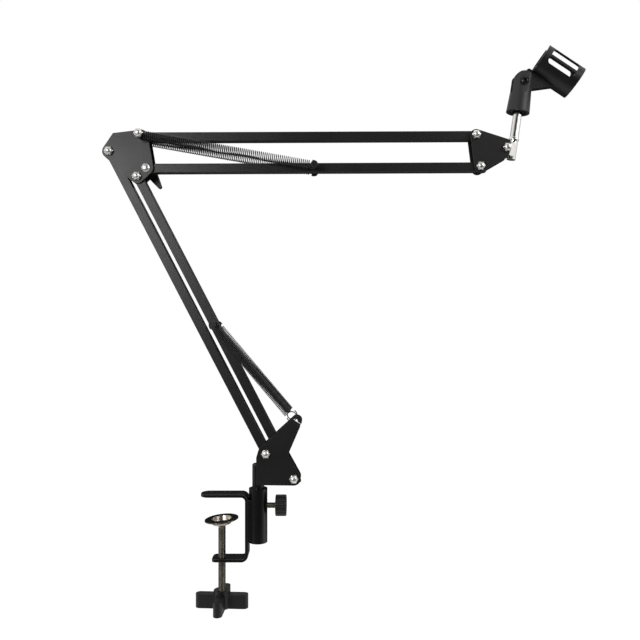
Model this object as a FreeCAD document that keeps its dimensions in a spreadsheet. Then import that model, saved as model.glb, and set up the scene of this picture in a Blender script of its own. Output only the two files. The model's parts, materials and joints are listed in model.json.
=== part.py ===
import FreeCAD, Part
import math
import os
import re

import Sketcher
from FreeCAD import Vector

# Desk-clamp microphone boom arm: two spring-balanced parallelogram arms on a swivel post.
# Frame: +Z up, +X along the upper arm, -Y towards the viewer. The origin is on the desk face of the
# upper jaw, on the clamp screw's axis. "Front" distances are measured towards -Y from the arm's middle plane.

SIZES = {
    # Clamp strap, a C bent from flat bar
    "strap_thickness": 3.2,
    "strap_width": 18.0,
    "strap_bend": 4.0,
    "upper_jaw_corner": 8.0,
    "lower_jaw_corner": 4.0,
    "upper_jaw_reach": 21.2,
    "lower_jaw_reach": 9.5,
    "leg_distance": 24.3,
    "jaw_opening": 62.0,
    # Socket tube welded on the strap
    "socket_radius": 9.4,
    "socket_top": 8.0,
    "socket_length": 54.8,
    "socket_floor": 2.0,
    "weld_leg": 4.5,
    "weld_trim": 3.0,
    # Clamp screw, pad and cross handle
    "screw_radius": 3.9,
    "screw_neck_radius": 2.5,
    "screw_rivet_radius": 4.4,
    "screw_rivet_top": 2.6,
    "screw_rivet_height": 1.6,
    "pad_radius": 17.2,
    "pad_cup_radius": 10.0,
    "pad_wall": 1.2,
    "pad_depth": 5.8,
    "pad_drop": 23.0,
    "pad_lean": 4.8,
    "pad_play": 0.5,
    "pad_hole_play": 0.7,
    "handle_drop": 96.0,
    "handle_collar_radius": 8.5,
    "handle_collar_height": 3.5,
    "handle_height": 14.0,
    "handle_reach": 27.0,
    "handle_wing": 9.0,
    "handle_turn": 3.0,
    "handle_socket_depth": 12.0,
    # Thumb screw in the socket wall
    "thumb_radius": 3.0,
    "thumb_point_radius": 2.1,
    "thumb_point": 1.2,
    "thumb_drop": 9.7,
    "thumb_free": 8.4,
    "thumb_seat": 7.0,
    "knob_radius": 10.7,
    "knob_length": 11.0,
    "knob_flute": 1.3,
    "knob_flutes": 18,
    "knob_rim": 1.0,
    # Swivel post and clearances
    "post_radius": 6.0,
    "post_top": 33.0,
    "post_chamfer": 1.0,
    "swivel_clearance": 0.06,
    "thread_clearance": 0.05,
    "pivot_clearance": 0.05,
    "press_clearance": 0.01,
    "rest_gap": 0.1,
    "overrun": 1.0,
    # Bars, plates and pivots of both arms
    "bar_size": 9.5,
    "bar_wall": 1.0,
    "bar_corner": 0.9,
    "bar_overhang": 6.7,
    "plate_gap": 12.0,
    "plate_thickness": 1.6,
    "washer_radius": 4.6,
    "bolt_radius": 2.5,
    "bolt_head_radius": 4.5,
    "bolt_head_height": 2.6,
    "nut_flats": 8.0,
    "nut_height": 3.2,
    "nut_dome": 2.4,
    "nut_dome_radius": 3.7,
    "nut_dome_top": 2.1,
    # Base plates
    "outer_pivot_x": 8.4,
    "outer_pivot_z": 44.3,
    "lower_pair_x": 28.25,
    "lower_pair_z": 25.3,
    "base_outer_lug": 8.3,
    "base_inner_lug": 7.0,
    "base_heel_x": 0.1,
    "base_heel_z": 13.9,
    "base_back_z": 40.0,
    "base_corner": 1.5,
    "base_waist_x": 24.4,
    "base_waist_z": 43.3,
    "base_waist": 6.0,
    "hook_x": 39.4,
    "hook_z": 76.6,
    "hook_radius": 5.4,
    "slot_x": 38.2,
    "slot_z": 77.4,
    "slot_eye": 2.3,
    "slot_width": 2.5,
    "slot_slope": 30.0,
    "slot_length": 10.0,
    # Lower arm
    "lower_arm_length": 344.1,
    "lower_arm_lean": 27.4,
    "lower_pin_distance": 169.0,
    "lower_pin_half": 19.6,
    "lower_loop_depth": 16.0,
    # Elbow plates, from the outer bar's pivot
    "elbow_lug": 7.0,
    "elbow_top_x": 32.7,
    "elbow_top_z": 15.2,
    "elbow_top_lug": 6.5,
    "elbow_corner_x": 4.6,
    "elbow_corner_z": 17.2,
    "elbow_corner": 1.2,
    "elbow_lock_lug": 7.5,
    "sleeve_radius": 3.6,
    "wing_hub_radius": 6.0,
    "wing_hub_height": 8.0,
    "wing_height": 5.2,
    "wing_reach": 18.2,
    "wing_tip": 2.0,
    "wing_turn": 58.5,
    # Upper arm
    "upper_arm_length": 338.0,
    "upper_arm_rise": 0.24,
    "upper_pair_x": 4.3,
    "upper_pair_z": 31.8,
    "upper_pin_distance": 170.4,
    "upper_pin_half": 21.4,
    "upper_loop_depth": 17.5,
    # Spring pins and springs
    "pin_radius": 2.25,
    "pin_cap_radius": 3.6,
    "pin_cap_height": 1.8,
    "wire_radius": 0.5,
    "coil_radius": 4.1,
    "coil_turns": 23,
    "loop_sweep": 290.0,
    "loop_play": 0.08,
    "hook_loop_tilt": 38.0,
    "hook_loop_depth": 6.8,
    "hook_play": 1.1,
    # Head plates, from the top bar's pivot
    "head_top_lug": 5.8,
    "head_bottom_lug": 6.1,
    "stud_pivot_x": 31.3,
    "stud_pivot_z": 12.9,
    "stud_lug": 4.4,
    "nose_upper_x": 30.8,
    "nose_upper_z": 8.5,
    "nose_upper": 4.5,
    "nose_lower_x": 29.2,
    "nose_lower_z": 20.0,
    "nose_lower": 3.8,
    # Microphone stud, from its pivot
    "stud_lean": 8.2,
    "stud_radius": 4.4,
    "stud_screw_radius": 3.0,
    "stud_offset": 7.36,
    "stud_eye": 5.2,
    "stud_drop": 9.7,
    "stud_shoulder": 10.0,
    "stud_flare": 5.0,
    "stud_flare_height": 2.0,
    "stud_flare_slope": 1.0,
    "stud_thread_radius": 7.94,
    "stud_thread_start": 41.0,
    "stud_thread_length": 14.0,
    # Microphone clip
    "clip_bottom": 38.6,
    "clip_radius": 11.7,
    "clip_shoulder": 57.6,
    "clip_shoulder_radius": 10.6,
    "clip_wall": 2.0,
    "insert_inset": 1.0,
    "clip_pivot": 68.6,
    "clip_ear": 10.4,
    "clip_ear_round": 1.0,
    "clip_ear_half": 9.6,
    "clip_tongue_half": 4.0,
    "clip_side_play": 0.3,
    "clip_screw_radius": 2.5,
    "clip_head_radius": 4.4,
    "clip_head_height": 2.4,
    "cradle_lean": 33.7,
    "cradle_radius": 16.5,
    "cradle_wall": 2.3,
    "cradle_axis": 30.2,
    "cradle_start": 1.6,
    "cradle_length": 43.3,
    "cradle_mouth": 12.2,
    "cradle_knuckle": 7.8,
    "cradle_neck_end": 27.0,
    "cradle_neck_back": 1.5,
    "cradle_neck_round": 2.2,
    "cradle_neck_drop": 0.4,
    "cradle_neck_tip": 1.0,
    "window_start": 7.8,
    "window_length": 30.0,
    "window_low": -5.0,
    "window_high": 12.7,
    "window_corner": 3.4,
}

FRONT = Vector(0, -1, 0)
doc = FreeCAD.newDocument("MicrophoneBoomArm")
sheet = doc.addObject("Spreadsheet::Sheet", "Sizes")
for row, (alias, size) in enumerate(SIZES.items(), start=1):
    sheet.set(f"A{row}", alias)
    sheet.set(f"B{row}", str(size))
    sheet.setAlias(f"B{row}", alias)
doc.recompute()

nodes = []


def bound(text):
    """Turn an expression in plain size names into one that reads the sheet."""
    return re.sub(r"[a-z][a-z_]*", lambda m: f"Sizes.{m[0]}" if m[0] in SIZES else m[0], str(text))


def number(text):
    """Value of an expression in size names."""
    return float(sheet.evalExpression(bound(text)))


# Stations: where each sub-assembly's own frame sits, as (x, z, axis, turn)
SOCKET_X = "(leg_distance + strap_thickness + socket_radius)"
LEAN = "(lower_arm_lean * 1 deg)"
RISE = "(upper_arm_rise * 1 deg)"
ELBOW_X = f"({SOCKET_X} + outer_pivot_x - lower_arm_length * sin{LEAN})"
ELBOW_Z = f"(outer_pivot_z + lower_arm_length * cos{LEAN})"
HEAD_X = f"({ELBOW_X} + elbow_top_x + upper_arm_length * cos{RISE})"
HEAD_Z = f"({ELBOW_Z} + elbow_top_z + upper_arm_length * sin{RISE})"
STUD_X = f"({HEAD_X} + stud_pivot_x + stud_offset * cos(stud_lean * 1 deg))"
STUD_Z = f"({HEAD_Z} - stud_pivot_z - stud_offset * sin(stud_lean * 1 deg))"
CLIP_X = f"({STUD_X} + clip_pivot * sin(stud_lean * 1 deg))"
CLIP_Z = f"({STUD_Z} + clip_pivot * cos(stud_lean * 1 deg))"
ACROSS = "vector(0; 1; 0)"
BACKWARDS = "vector(0; -1; 0)"
UPWARDS = "vector(0; 0; 1)"
CLAMP = ("0", "0", UPWARDS, "0")
BASE = (SOCKET_X, "0", UPWARDS, "0")
ELBOW = (ELBOW_X, ELBOW_Z, UPWARDS, "0")
HEAD = (HEAD_X, HEAD_Z, UPWARDS, "0")
STUD = (STUD_X, STUD_Z, ACROSS, "stud_lean")
CRADLE = (CLIP_X, CLIP_Z, ACROSS, "cradle_lean")
LOWER_OUTER = (ELBOW_X, ELBOW_Z, ACROSS, "90 - lower_arm_lean")
LOWER_INNER = (f"{ELBOW_X} + lower_pair_x", f"{ELBOW_Z} - lower_pair_z", ACROSS, "90 - lower_arm_lean")
UPPER_TOP = (f"{ELBOW_X} + elbow_top_x", f"{ELBOW_Z} + elbow_top_z", BACKWARDS, "upper_arm_rise")
UPPER_BOTTOM = (
    f"{ELBOW_X} + elbow_top_x + upper_pair_x",
    f"{ELBOW_Z} + elbow_top_z - upper_pair_z",
    BACKWARDS,
    "upper_arm_rise",
)
PAD = ("0", "-pad_drop - pad_depth", ACROSS, "-pad_lean")
HANDLE = ("0", "-handle_drop", UPWARDS, "-handle_turn")
THUMB = (f"{SOCKET_X} + socket_radius + thumb_free", "-thumb_drop", ACROSS, "90")

# Pivots inside their stations
OUTER_PIVOT = ("outer_pivot_x", "outer_pivot_z")
INNER_PIVOT = ("outer_pivot_x + lower_pair_x", "outer_pivot_z - lower_pair_z")
ELBOW_OUTER = ("0", "0")
ELBOW_INNER = ("lower_pair_x", "-lower_pair_z")
ELBOW_TOP = ("elbow_top_x", "elbow_top_z")
ELBOW_LOCK = ("elbow_top_x + upper_pair_x", "elbow_top_z - upper_pair_z")
HEAD_TOP = ("0", "0")
HEAD_BOTTOM = ("upper_pair_x", "-upper_pair_z")
STUD_PIVOT = ("stud_pivot_x", "-stud_pivot_z")

# Depths towards the front, from the arm's middle plane
INNER_FACE = "plate_gap / 2"
OUTER_FACE = "(plate_gap / 2 + plate_thickness)"


def finish(item, label, station):
    """Name a sub-part and set it at its station."""
    x, z, axis, turn = station
    place = f"placement(vector({x}; 0; {z}); rotation({axis}; ({turn}) * 1 deg))"
    item.Label = label
    item.setExpression("Placement", bound(place))
    nodes.append(item)
    return item


class Outline:
    """A sketch on one of a body's own planes, with every point and radius bound to the sheet."""

    def __init__(self, body, name, plane="XZ_Plane", offset="0"):
        origin = next(o for o in body.Origin.OriginFeatures if o.Role == plane)
        self.sketch = body.newObject("Sketcher::SketchObject", name)
        self.sketch.AttachmentSupport = [(origin, "")]
        self.sketch.MapMode = "FlatFace"
        self.sketch.setExpression("AttachmentOffset.Base.z", bound(offset))

    def bind(self, text, *constraint):
        """Add a dimension that takes its value from an expression."""
        index = self.sketch.addConstraint(Sketcher.Constraint(*constraint, number(text)))
        self.sketch.setExpression(f"Constraints[{index}]", bound(text))

    def pin(self, geometry, end, x, z):
        """Fix a point at two expressions."""
        if abs(number(x)) < 1e-9:
            self.sketch.addConstraint(Sketcher.Constraint("PointOnObject", geometry, end, -2))
        else:
            self.bind(x, "DistanceX", -1, 1, geometry, end)
        if abs(number(z)) < 1e-9:
            self.sketch.addConstraint(Sketcher.Constraint("PointOnObject", geometry, end, -1))
        else:
            self.bind(z, "DistanceY", -1, 1, geometry, end)

    def circle(self, x, z, radius):
        """Add a circle."""
        round_edge = Part.Circle(Vector(number(x), number(z), 0), Vector(0, 0, 1), number(radius))
        geometry = self.sketch.addGeometry(round_edge, False)
        self.pin(geometry, 3, x, z)
        self.bind(radius, "Radius", geometry)
        return self

    def polygon(self, *points):
        """Add a closed run of straight lines."""
        corners = [Vector(number(x), number(z), 0) for x, z in points]
        count = len(corners)
        lines = [Part.LineSegment(corners[i], corners[(i + 1) % count]) for i in range(count)]
        ids = [self.sketch.addGeometry(line, False) for line in lines]
        for i in range(count):
            self.sketch.addConstraint(Sketcher.Constraint("Coincident", ids[i], 2, ids[(i + 1) % count], 1))
        for i, (x, z) in enumerate(points):
            self.pin(ids[i], 1, x, z)
        return self

    def rectangle(self, x0, z0, x1, z1):
        """Add an upright rectangle."""
        return self.polygon((x0, z0), (x1, z0), (x1, z1), (x0, z1))

    def hull(self, *lugs):
        """Add the tight band around round lugs, given anticlockwise as (x, z, radius)."""
        centres = [Vector(number(x), number(z), 0) for x, z, _ in lugs]
        radii = [number(radius) for _, _, radius in lugs]
        count = len(lugs)
        starts = [None] * count
        ends = [None] * count
        for i in range(count):
            j = (i + 1) % count
            along = centres[j] - centres[i]
            share = (radii[i] - radii[j]) / along.Length
            along.normalize()
            outward = along * share + Vector(along.y, -along.x, 0) * math.sqrt(1 - share * share)
            ends[i] = centres[i] + outward * radii[i]
            starts[j] = centres[j] + outward * radii[j]
        arcs = []
        lines = []
        for i in range(count):
            first = math.atan2(starts[i].y - centres[i].y, starts[i].x - centres[i].x)
            last = math.atan2(ends[i].y - centres[i].y, ends[i].x - centres[i].x)
            if last < first:
                last += 2 * math.pi
            full = Part.Circle(centres[i], Vector(0, 0, 1), radii[i])
            arcs.append(self.sketch.addGeometry(Part.ArcOfCircle(full, first, last), False))
        for i in range(count):
            j = (i + 1) % count
            lines.append(self.sketch.addGeometry(Part.LineSegment(ends[i], starts[j]), False))
        for i in range(count):
            j = (i + 1) % count
            self.sketch.addConstraint(Sketcher.Constraint("Tangent", arcs[i], 2, lines[i], 1))
            self.sketch.addConstraint(Sketcher.Constraint("Tangent", lines[i], 2, arcs[j], 1))
            x, z, radius = lugs[i]
            self.pin(arcs[i], 3, x, z)
            self.bind(radius, "Radius", arcs[i])
        return self


def new_body(name):
    """Start a body; a group of like fasteners keeps its solids apart."""
    body = doc.addObject("PartDesign::Body", name)
    body.AllowCompound = True
    return body


def pad(body, outline, length, midplane=False):
    """Thicken an outline; from the middle plane a pad grows towards the front."""
    feature = body.newObject("PartDesign::Pad", "Pad")
    feature.Profile = outline.sketch
    feature.setExpression("Length", bound(length))
    feature.SideType = "Symmetric" if midplane else "One side"
    return feature


def pocket(body, outline, length=None, midplane=False, flipped=False):
    """Cut an outline through, or to a depth."""
    feature = body.newObject("PartDesign::Pocket", "Pocket")
    feature.Profile = outline.sketch
    if length is None:
        feature.Type = "ThroughAll"
    else:
        feature.setExpression("Length", bound(length))
    feature.SideType = "Symmetric" if midplane else "One side"
    feature.Reversed = flipped
    return feature


def turned(body, *profile):
    """Turn a profile of (radius, height) points about the body's upright axis."""
    outline = Outline(body, "Profile").polygon(*profile)
    feature = body.newObject("PartDesign::Revolution", "Turned")
    feature.Profile = outline.sketch
    feature.ReferenceAxis = (outline.sketch, ["V_Axis"])
    feature.Angle = 360
    return feature


def round_edges(body, radius, wanted):
    """Fillet the edges of the body's tip that a test picks out."""
    doc.recompute()
    tip = body.Tip
    names = [f"Edge{i}" for i, edge in enumerate(tip.Shape.Edges, start=1) if wanted(edge)]
    feature = body.newObject("PartDesign::Fillet", "Rounded")
    feature.Base = (tip, names)
    feature.setExpression("Radius", bound(radius))
    return feature


def runs_along(edge, direction):
    """True for a straight edge along a direction."""
    if edge.Curve.TypeId != "Part::GeomLine":
        return False
    return abs(edge.tangentAt(edge.FirstParameter).dot(direction)) > 0.999


def at(edge, **places):
    """True where the edge's middle has the given coordinates."""
    middle = edge.CenterOfMass
    return all(abs(getattr(middle, axis) - place) < 0.01 for axis, place in places.items())


# Clamp
def make_clamp_frame():
    """Bent strap with a flat upper jaw, rounded jaw ends and a tapped lower jaw."""
    body = new_body("ClampFrame")
    low = "-jaw_opening - strap_thickness"
    outer = "leg_distance + strap_thickness"
    outline = Outline(body, "StrapSide").polygon(
        ("-upper_jaw_reach", "0"),
        ("leg_distance", "0"),
        ("leg_distance", "-jaw_opening"),
        ("-lower_jaw_reach", "-jaw_opening"),
        ("-lower_jaw_reach", low),
        (outer, low),
        (outer, "strap_thickness"),
        ("-upper_jaw_reach", "strap_thickness"),
    )
    pad(body, outline, "strap_width", midplane=True)
    inner = number("leg_distance")
    heel = number(outer)
    round_edges(body, "strap_bend", lambda e: runs_along(e, FRONT) and at(e, x=inner))
    round_edges(body, "strap_bend + strap_thickness", lambda e: runs_along(e, FRONT) and at(e, x=heel))
    upright = Vector(0, 0, 1)
    upper_end = -number("upper_jaw_reach")
    lower_end = -number("lower_jaw_reach")
    round_edges(body, "upper_jaw_corner", lambda e: runs_along(e, upright) and at(e, x=upper_end))
    round_edges(body, "lower_jaw_corner", lambda e: runs_along(e, upright) and at(e, x=lower_end))
    hole = Outline(body, "ScrewHole", "XY_Plane", "-jaw_opening")
    hole.circle("0", "0", "screw_radius + thread_clearance")
    pocket(body, hole, "strap_thickness")
    return finish(body, "clamp_frame", CLAMP)


def make_socket_tube():
    """Closed-bottom tube that takes the swivel post, with a tapped side hole."""
    body = new_body("SocketTube")
    bore = "post_radius + swivel_clearance"
    bottom = "socket_top - socket_length"
    turned(
        body,
        ("0", bottom),
        ("socket_radius", bottom),
        ("socket_radius", "socket_top"),
        (bore, "socket_top"),
        (bore, f"{bottom} + socket_floor"),
        ("0", f"{bottom} + socket_floor"),
    )
    hole = Outline(body, "ThumbHole", "YZ_Plane")
    hole.circle("0", "-thumb_drop", "thumb_radius + thread_clearance")
    pocket(body, hole, flipped=True)
    return finish(body, "socket_tube", BASE)


def make_socket_welds():
    """Two weld beads in the corners between the strap and the tube."""
    body = new_body("SocketWelds")
    face = "-socket_radius"
    bottom = "socket_top - socket_length + weld_trim"
    beads = Outline(body, "BeadSection", "XY_Plane", bottom).polygon(
        (face, "weld_leg / 2"),
        (f"{face} + weld_leg", "socket_radius - weld_leg / 4"),
        (face, "socket_radius - weld_leg / 4"),
    )
    beads.polygon(
        (face, "-weld_leg / 2"),
        (face, "-socket_radius + weld_leg / 4"),
        (f"{face} + weld_leg", "-socket_radius + weld_leg / 4"),
    )
    pad(body, beads, "socket_length - socket_top - 2 * weld_trim")
    tube = Outline(body, "TubeWall", "XY_Plane", bottom).circle("0", "0", "socket_radius")
    pocket(body, tube, midplane=True)
    return finish(body, "socket_welds", BASE)


def make_clamp_screw():
    """Screw with a shoulder, a neck and a riveted end that carries the pad."""
    body = new_body("ClampScrew")
    floor = "-pad_drop - pad_depth"
    shoulder = f"{floor} - pad_play"
    head = f"{floor} + pad_wall + pad_play"
    turned(
        body,
        ("0", "-handle_drop - handle_socket_depth"),
        ("screw_radius", "-handle_drop - handle_socket_depth"),
        ("screw_radius", shoulder),
        ("screw_neck_radius", shoulder),
        ("screw_neck_radius", head),
        ("screw_rivet_radius", head),
        ("screw_rivet_top", f"{head} + screw_rivet_height"),
        ("0", f"{head} + screw_rivet_height"),
    )
    return finish(body, "clamp_screw", CLAMP)


def make_pressure_pad():
    """Pressed hat-shaped pad, open upwards, hung loosely on the screw's neck."""
    body = new_body("PressurePad")
    turned(
        body,
        ("screw_neck_radius + pad_hole_play", "0"),
        ("pad_cup_radius - pad_wall", "0"),
        ("pad_cup_radius", "pad_wall"),
        ("pad_cup_radius + pad_wall", "pad_depth - pad_wall"),
        ("pad_radius", "pad_depth - pad_wall"),
        ("pad_radius", "pad_depth"),
        ("pad_cup_radius", "pad_depth"),
        ("pad_cup_radius - pad_wall", "pad_wall"),
        ("screw_neck_radius + pad_hole_play", "pad_wall"),
    )
    return finish(body, "pressure_pad", PAD)


def make_clamp_handle():
    """Cross handle: four wings round a hub with a collar on top."""
    body = new_body("ClampHandle")
    low = "-handle_collar_height - handle_height"
    half = "handle_wing / 2"
    pad(body, Outline(body, "WingsAcross", "XY_Plane", low).hull(
        ("-handle_reach + handle_wing / 2", "0", half),
        ("handle_reach - handle_wing / 2", "0", half),
    ), "handle_height")
    pad(body, Outline(body, "WingsAlong", "XY_Plane", low).hull(
        ("0", "-handle_reach + handle_wing / 2", half),
        ("0", "handle_reach - handle_wing / 2", half),
    ), "handle_height")
    hub = Outline(body, "Hub", "XY_Plane", low).circle("0", "0", "handle_collar_radius")
    pad(body, hub, "handle_height + handle_collar_height")
    hole = Outline(body, "HandleHole", "XY_Plane").circle("0", "0", "screw_radius + press_clearance")
    pocket(body, hole, "handle_socket_depth")
    return finish(body, "clamp_handle", HANDLE)


def make_thumb_screw():
    """Screw that locks the swivel post; its axis runs along +X."""
    body = new_body("ThumbScrew")
    tip = "-thumb_free - socket_radius + post_radius + rest_gap"
    turned(
        body,
        ("0", tip),
        ("thumb_point_radius", tip),
        ("thumb_radius", f"{tip} + thumb_point"),
        ("thumb_radius", "thumb_seat"),
        ("0", "thumb_seat"),
    )
    return finish(body, "thumb_screw", THUMB)


def make_thumb_knob():
    """Fluted knob moulded on the thumb screw."""
    body = new_body("ThumbKnob")
    outline = Outline(body, "KnobFace", "XY_Plane").circle("0", "0", "knob_radius")
    pad(body, outline, "knob_length")
    ends = (0, number("knob_length"))
    round_edges(body, "knob_rim", lambda e: any(at(e, z=end) for end in ends))
    flute = Outline(body, "Flute", "XY_Plane").circle("knob_radius + knob_flute / 4", "0", "knob_flute")
    cut = pocket(body, flute, flipped=True)
    doc.recompute()
    pattern = body.newObject("PartDesign::PolarPattern", "Flutes")
    pattern.Originals = [cut]
    pattern.Axis = (flute.sketch, ["N_Axis"])
    pattern.Angle = 360
    pattern.setExpression("Occurrences", bound("knob_flutes"))
    body.Tip = pattern
    hole = Outline(body, "KnobHole", "XY_Plane").circle("0", "0", "thumb_radius + press_clearance")
    pocket(body, hole, "thumb_seat", flipped=True)
    return finish(body, "thumb_knob", THUMB)


# Fasteners shared by the base, the elbow and the head
def add_solid(kind, name, spot, back, front, **sizes):
    """Add a primitive whose axis points to the front, between two depths at a spot (x, z)."""
    solid = doc.addObject(kind, name)
    for prop, text in sizes.items():
        solid.setExpression(prop, bound(text))
    solid.setExpression("Height", bound(f"({front}) - ({back})"))
    spot_text = f"vector({spot[0]}; -({back}); {spot[1]})"
    solid.setExpression("Placement", bound(f"placement({spot_text}; rotation(vector(1; 0; 0); 90 deg))"))
    return solid


def rod(name, spot, radius, back, front):
    """Round bar along the depth."""
    return add_solid("Part::Cylinder", name, spot, back, front, Radius=radius)


def joined(kind, name, *items):
    """Fuse items, or group them as separate solids."""
    result = doc.addObject(kind, name)
    if kind == "Part::Compound":
        result.Links = list(items)
    else:
        result.Shapes = list(items)
    return result


def cut(name, base, tool):
    """Take one solid from another."""
    result = doc.addObject("Part::Cut", name)
    result.Base = base
    result.Tool = tool
    return result


def round_headed(name, spot, radius, head_radius, back, front):
    """Bolt with a round head behind its back depth and a shank that reaches its front depth."""
    head = rod(f"{name}Head", spot, head_radius, f"{back} - bolt_head_height", back)
    return joined("Part::MultiFuse", name, head, rod(f"{name}Shank", spot, radius, back, front))


def cap_nut(name, spot, radius, back):
    """Hexagon nut with a round cap in front, bored to take the bolt's end."""
    hexagon = add_solid(
        "Part::Prism", f"{name}Hexagon", spot, back, f"{back} + nut_height",
        Circumradius="nut_flats / sqrt(3)",
    )
    hexagon.Polygon = 6
    dome = add_solid(
        "Part::Cone", f"{name}Dome", spot, f"{back} + nut_height", f"{back} + nut_height + nut_dome",
        Radius1="nut_dome_radius", Radius2="nut_dome_top",
    )
    whole = joined("Part::MultiFuse", f"{name}Whole", hexagon, dome)
    end = f"{back} + nut_height"
    bore = rod(f"{name}Bore", spot, f"{radius} + press_clearance", f"{back} - overrun", end)
    return cut(name, whole, bore)


def washer(name, spot, radius, back, front):
    """Flat ring between a bar and a plate."""
    disc = rod(f"{name}Disc", spot, "washer_radius", back, front)
    bore = rod(f"{name}Bore", spot, f"{radius} + pivot_clearance", f"{back} - overrun", f"{front} + overrun")
    return cut(name, disc, bore)


def make_pivot_set(prefix, label, station, spots):
    """Bolts with heads at the back and cap nuts in front, one at each pivot."""
    bolts = []
    nuts = []
    for i, spot in enumerate(spots, start=1):
        front = f"{OUTER_FACE} + nut_height"
        name = f"{prefix}Bolt{i}"
        bolts.append(round_headed(name, spot, "bolt_radius", "bolt_head_radius", f"-{OUTER_FACE}", front))
        nuts.append(cap_nut(f"{prefix}Nut{i}", spot, "bolt_radius", OUTER_FACE))
    finish(joined("Part::Compound", f"{prefix}Bolts", *bolts), f"{label}_bolts", station)
    finish(joined("Part::Compound", f"{prefix}Nuts", *nuts), f"{label}_nuts", station)


def make_washers(prefix, label, station, spots, radius="bolt_radius"):
    """Washers on both sides of the bar at each pivot."""
    seat = "bar_size / 2 + rest_gap / 2"
    rings = []
    for i, spot in enumerate(spots, start=1):
        rings.append(washer(f"{prefix}FrontWasher{i}", spot, radius, seat, INNER_FACE))
        rings.append(washer(f"{prefix}RearWasher{i}", spot, radius, f"-{INNER_FACE}", f"-({seat})"))
    finish(joined("Part::Compound", f"{prefix}Washers", *rings), f"{label}_washers", station)


# Plates come in pairs, front and rear
SIDES = (("Front", "front", INNER_FACE), ("Rear", "rear", f"-{OUTER_FACE}"))


def make_plates(prefix, label, station, lugs, holes):
    """Two flat plates round a band of lugs, with pivot holes."""
    for side, side_label, back in SIDES:
        body = new_body(f"{prefix}Plate{side}")
        outline = Outline(body, f"{prefix}Outline{side}", offset=back).hull(*lugs)
        for (x, z), radius in holes:
            outline.circle(x, z, f"{radius} + pivot_clearance")
        pad(body, outline, "plate_thickness")
        finish(body, f"{label}_plate_{side_label}", station)


# Base
def make_base_post():
    """Round post that turns in the socket and stands between the base plates."""
    body = new_body("BasePost")
    bottom = "socket_top - socket_length + socket_floor + rest_gap"
    turned(
        body,
        ("0", bottom),
        ("post_radius - post_chamfer", bottom),
        ("post_radius", f"{bottom} + post_chamfer"),
        ("post_radius", "post_top - post_chamfer"),
        ("post_radius - post_chamfer", "post_top"),
        ("0", "post_top"),
    )
    return finish(body, "base_post", BASE)


def make_base_plates():
    """Two cheeks with pivot lugs, an arm and a hook: a round eye for a spring, open through a narrow slot."""
    outer = (*OUTER_PIVOT, "base_outer_lug")
    inner = (*INNER_PIVOT, "base_inner_lug")
    waist = ("base_waist_x", "base_waist_z", "base_waist")
    heel = ("base_heel_x", "base_heel_z", "base_corner")
    back_edge = ("base_heel_x", "base_back_z", "base_corner")
    slot_z = "slot_z - slot_eye + slot_width / 2"
    for side, side_label, back in SIDES:
        body = new_body(f"BasePlate{side}")
        cheek = Outline(body, f"Cheek{side}", offset=back).hull(heel, inner, waist, outer, back_edge)
        pad(body, cheek, "plate_thickness")
        arm = Outline(body, f"Arm{side}", offset=back).hull(outer, waist, ("hook_x", "hook_z", "hook_radius"))
        pad(body, arm, "plate_thickness")
        face = f"{back} + plate_thickness"
        holes = Outline(body, f"Holes{side}", offset=face)
        holes.circle(*OUTER_PIVOT, "bolt_radius + pivot_clearance")
        holes.circle(*INNER_PIVOT, "bolt_radius + pivot_clearance")
        holes.circle("slot_x", "slot_z", "slot_eye")
        pocket(body, holes)
        slot = Outline(body, f"Slot{side}", offset=face)
        slot.hull(
            ("slot_x", slot_z, "slot_width / 2"),
            (
                "slot_x + slot_length * cos(slot_slope * 1 deg)",
                f"{slot_z} - slot_length * sin(slot_slope * 1 deg)",
                "slot_width / 2",
            ),
        )
        pocket(body, slot)
        finish(body, f"base_plate_{side_label}", BASE)


# Bars: origin at the elbow pivot, where the end is round
def make_bar(name, label, station, length, pin=None):
    """Square tube with a round end at the elbow, a cut end beyond the far pivot and cross holes."""
    body = new_body(name)
    half = "bar_size / 2"
    tiny = "bar_corner / 4"
    side = Outline(body, f"{name}Side").hull(
        ("0", "0", half),
        (f"{length} + bar_overhang - {tiny}", f"-{half} + {tiny}", tiny),
        (f"{length} + bar_overhang - {tiny}", f"{half} - {tiny}", tiny),
    )
    pad(body, side, "bar_size", midplane=True)
    along = Vector(1, 0, 0)
    round_edges(body, "bar_corner", lambda e: runs_along(e, along))
    inside = "bar_size / 2 - bar_wall"
    core = Outline(body, f"{name}Inside", "YZ_Plane")
    core.rectangle(f"-({inside})", f"-({inside})", inside, inside)
    pocket(body, core, midplane=True)
    holes = Outline(body, f"{name}Holes")
    holes.circle("0", "0", "bolt_radius + pivot_clearance")
    holes.circle(length, "0", "bolt_radius + pivot_clearance")
    if pin:
        holes.circle(pin, "0", "pin_radius + press_clearance")
    pocket(body, holes, midplane=True)
    return finish(body, label, station)


def make_spring_pin(prefix, label, station, distance, half):
    """Cross pin through a bar, with a push-on cap outside each spring loop."""
    spot = (distance, "0")
    pin = rod(f"{prefix}Pin", spot, "pin_radius", f"-{half}", half)
    finish(pin, f"{label}_spring_pin", station)
    pin.setExpression("Placement", bound(
        f"placement(vector({station[0]}; 0; {station[1]}); rotation({station[2]}; ({station[3]}) * 1 deg))"
        f" * placement(vector({distance}; {half}; 0); rotation(vector(1; 0; 0); 90 deg))"
    ))
    caps = []
    for side, back in (("Front", f"{half} - pin_cap_height"), ("Rear", f"-{half}")):
        disc = rod(f"{prefix}{side}CapDisc", spot, "pin_cap_radius", back, f"{back} + pin_cap_height")
        bore = rod(f"{prefix}{side}CapBore", spot, "pin_radius + press_clearance", f"{back} - overrun",
                   f"{back} + pin_cap_height + overrun")
        caps.append(cut(f"{prefix}{side}Cap", disc, bore))
    finish(joined("Part::Compound", f"{prefix}Caps", *caps), f"{label}_spring_caps", station)


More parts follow.
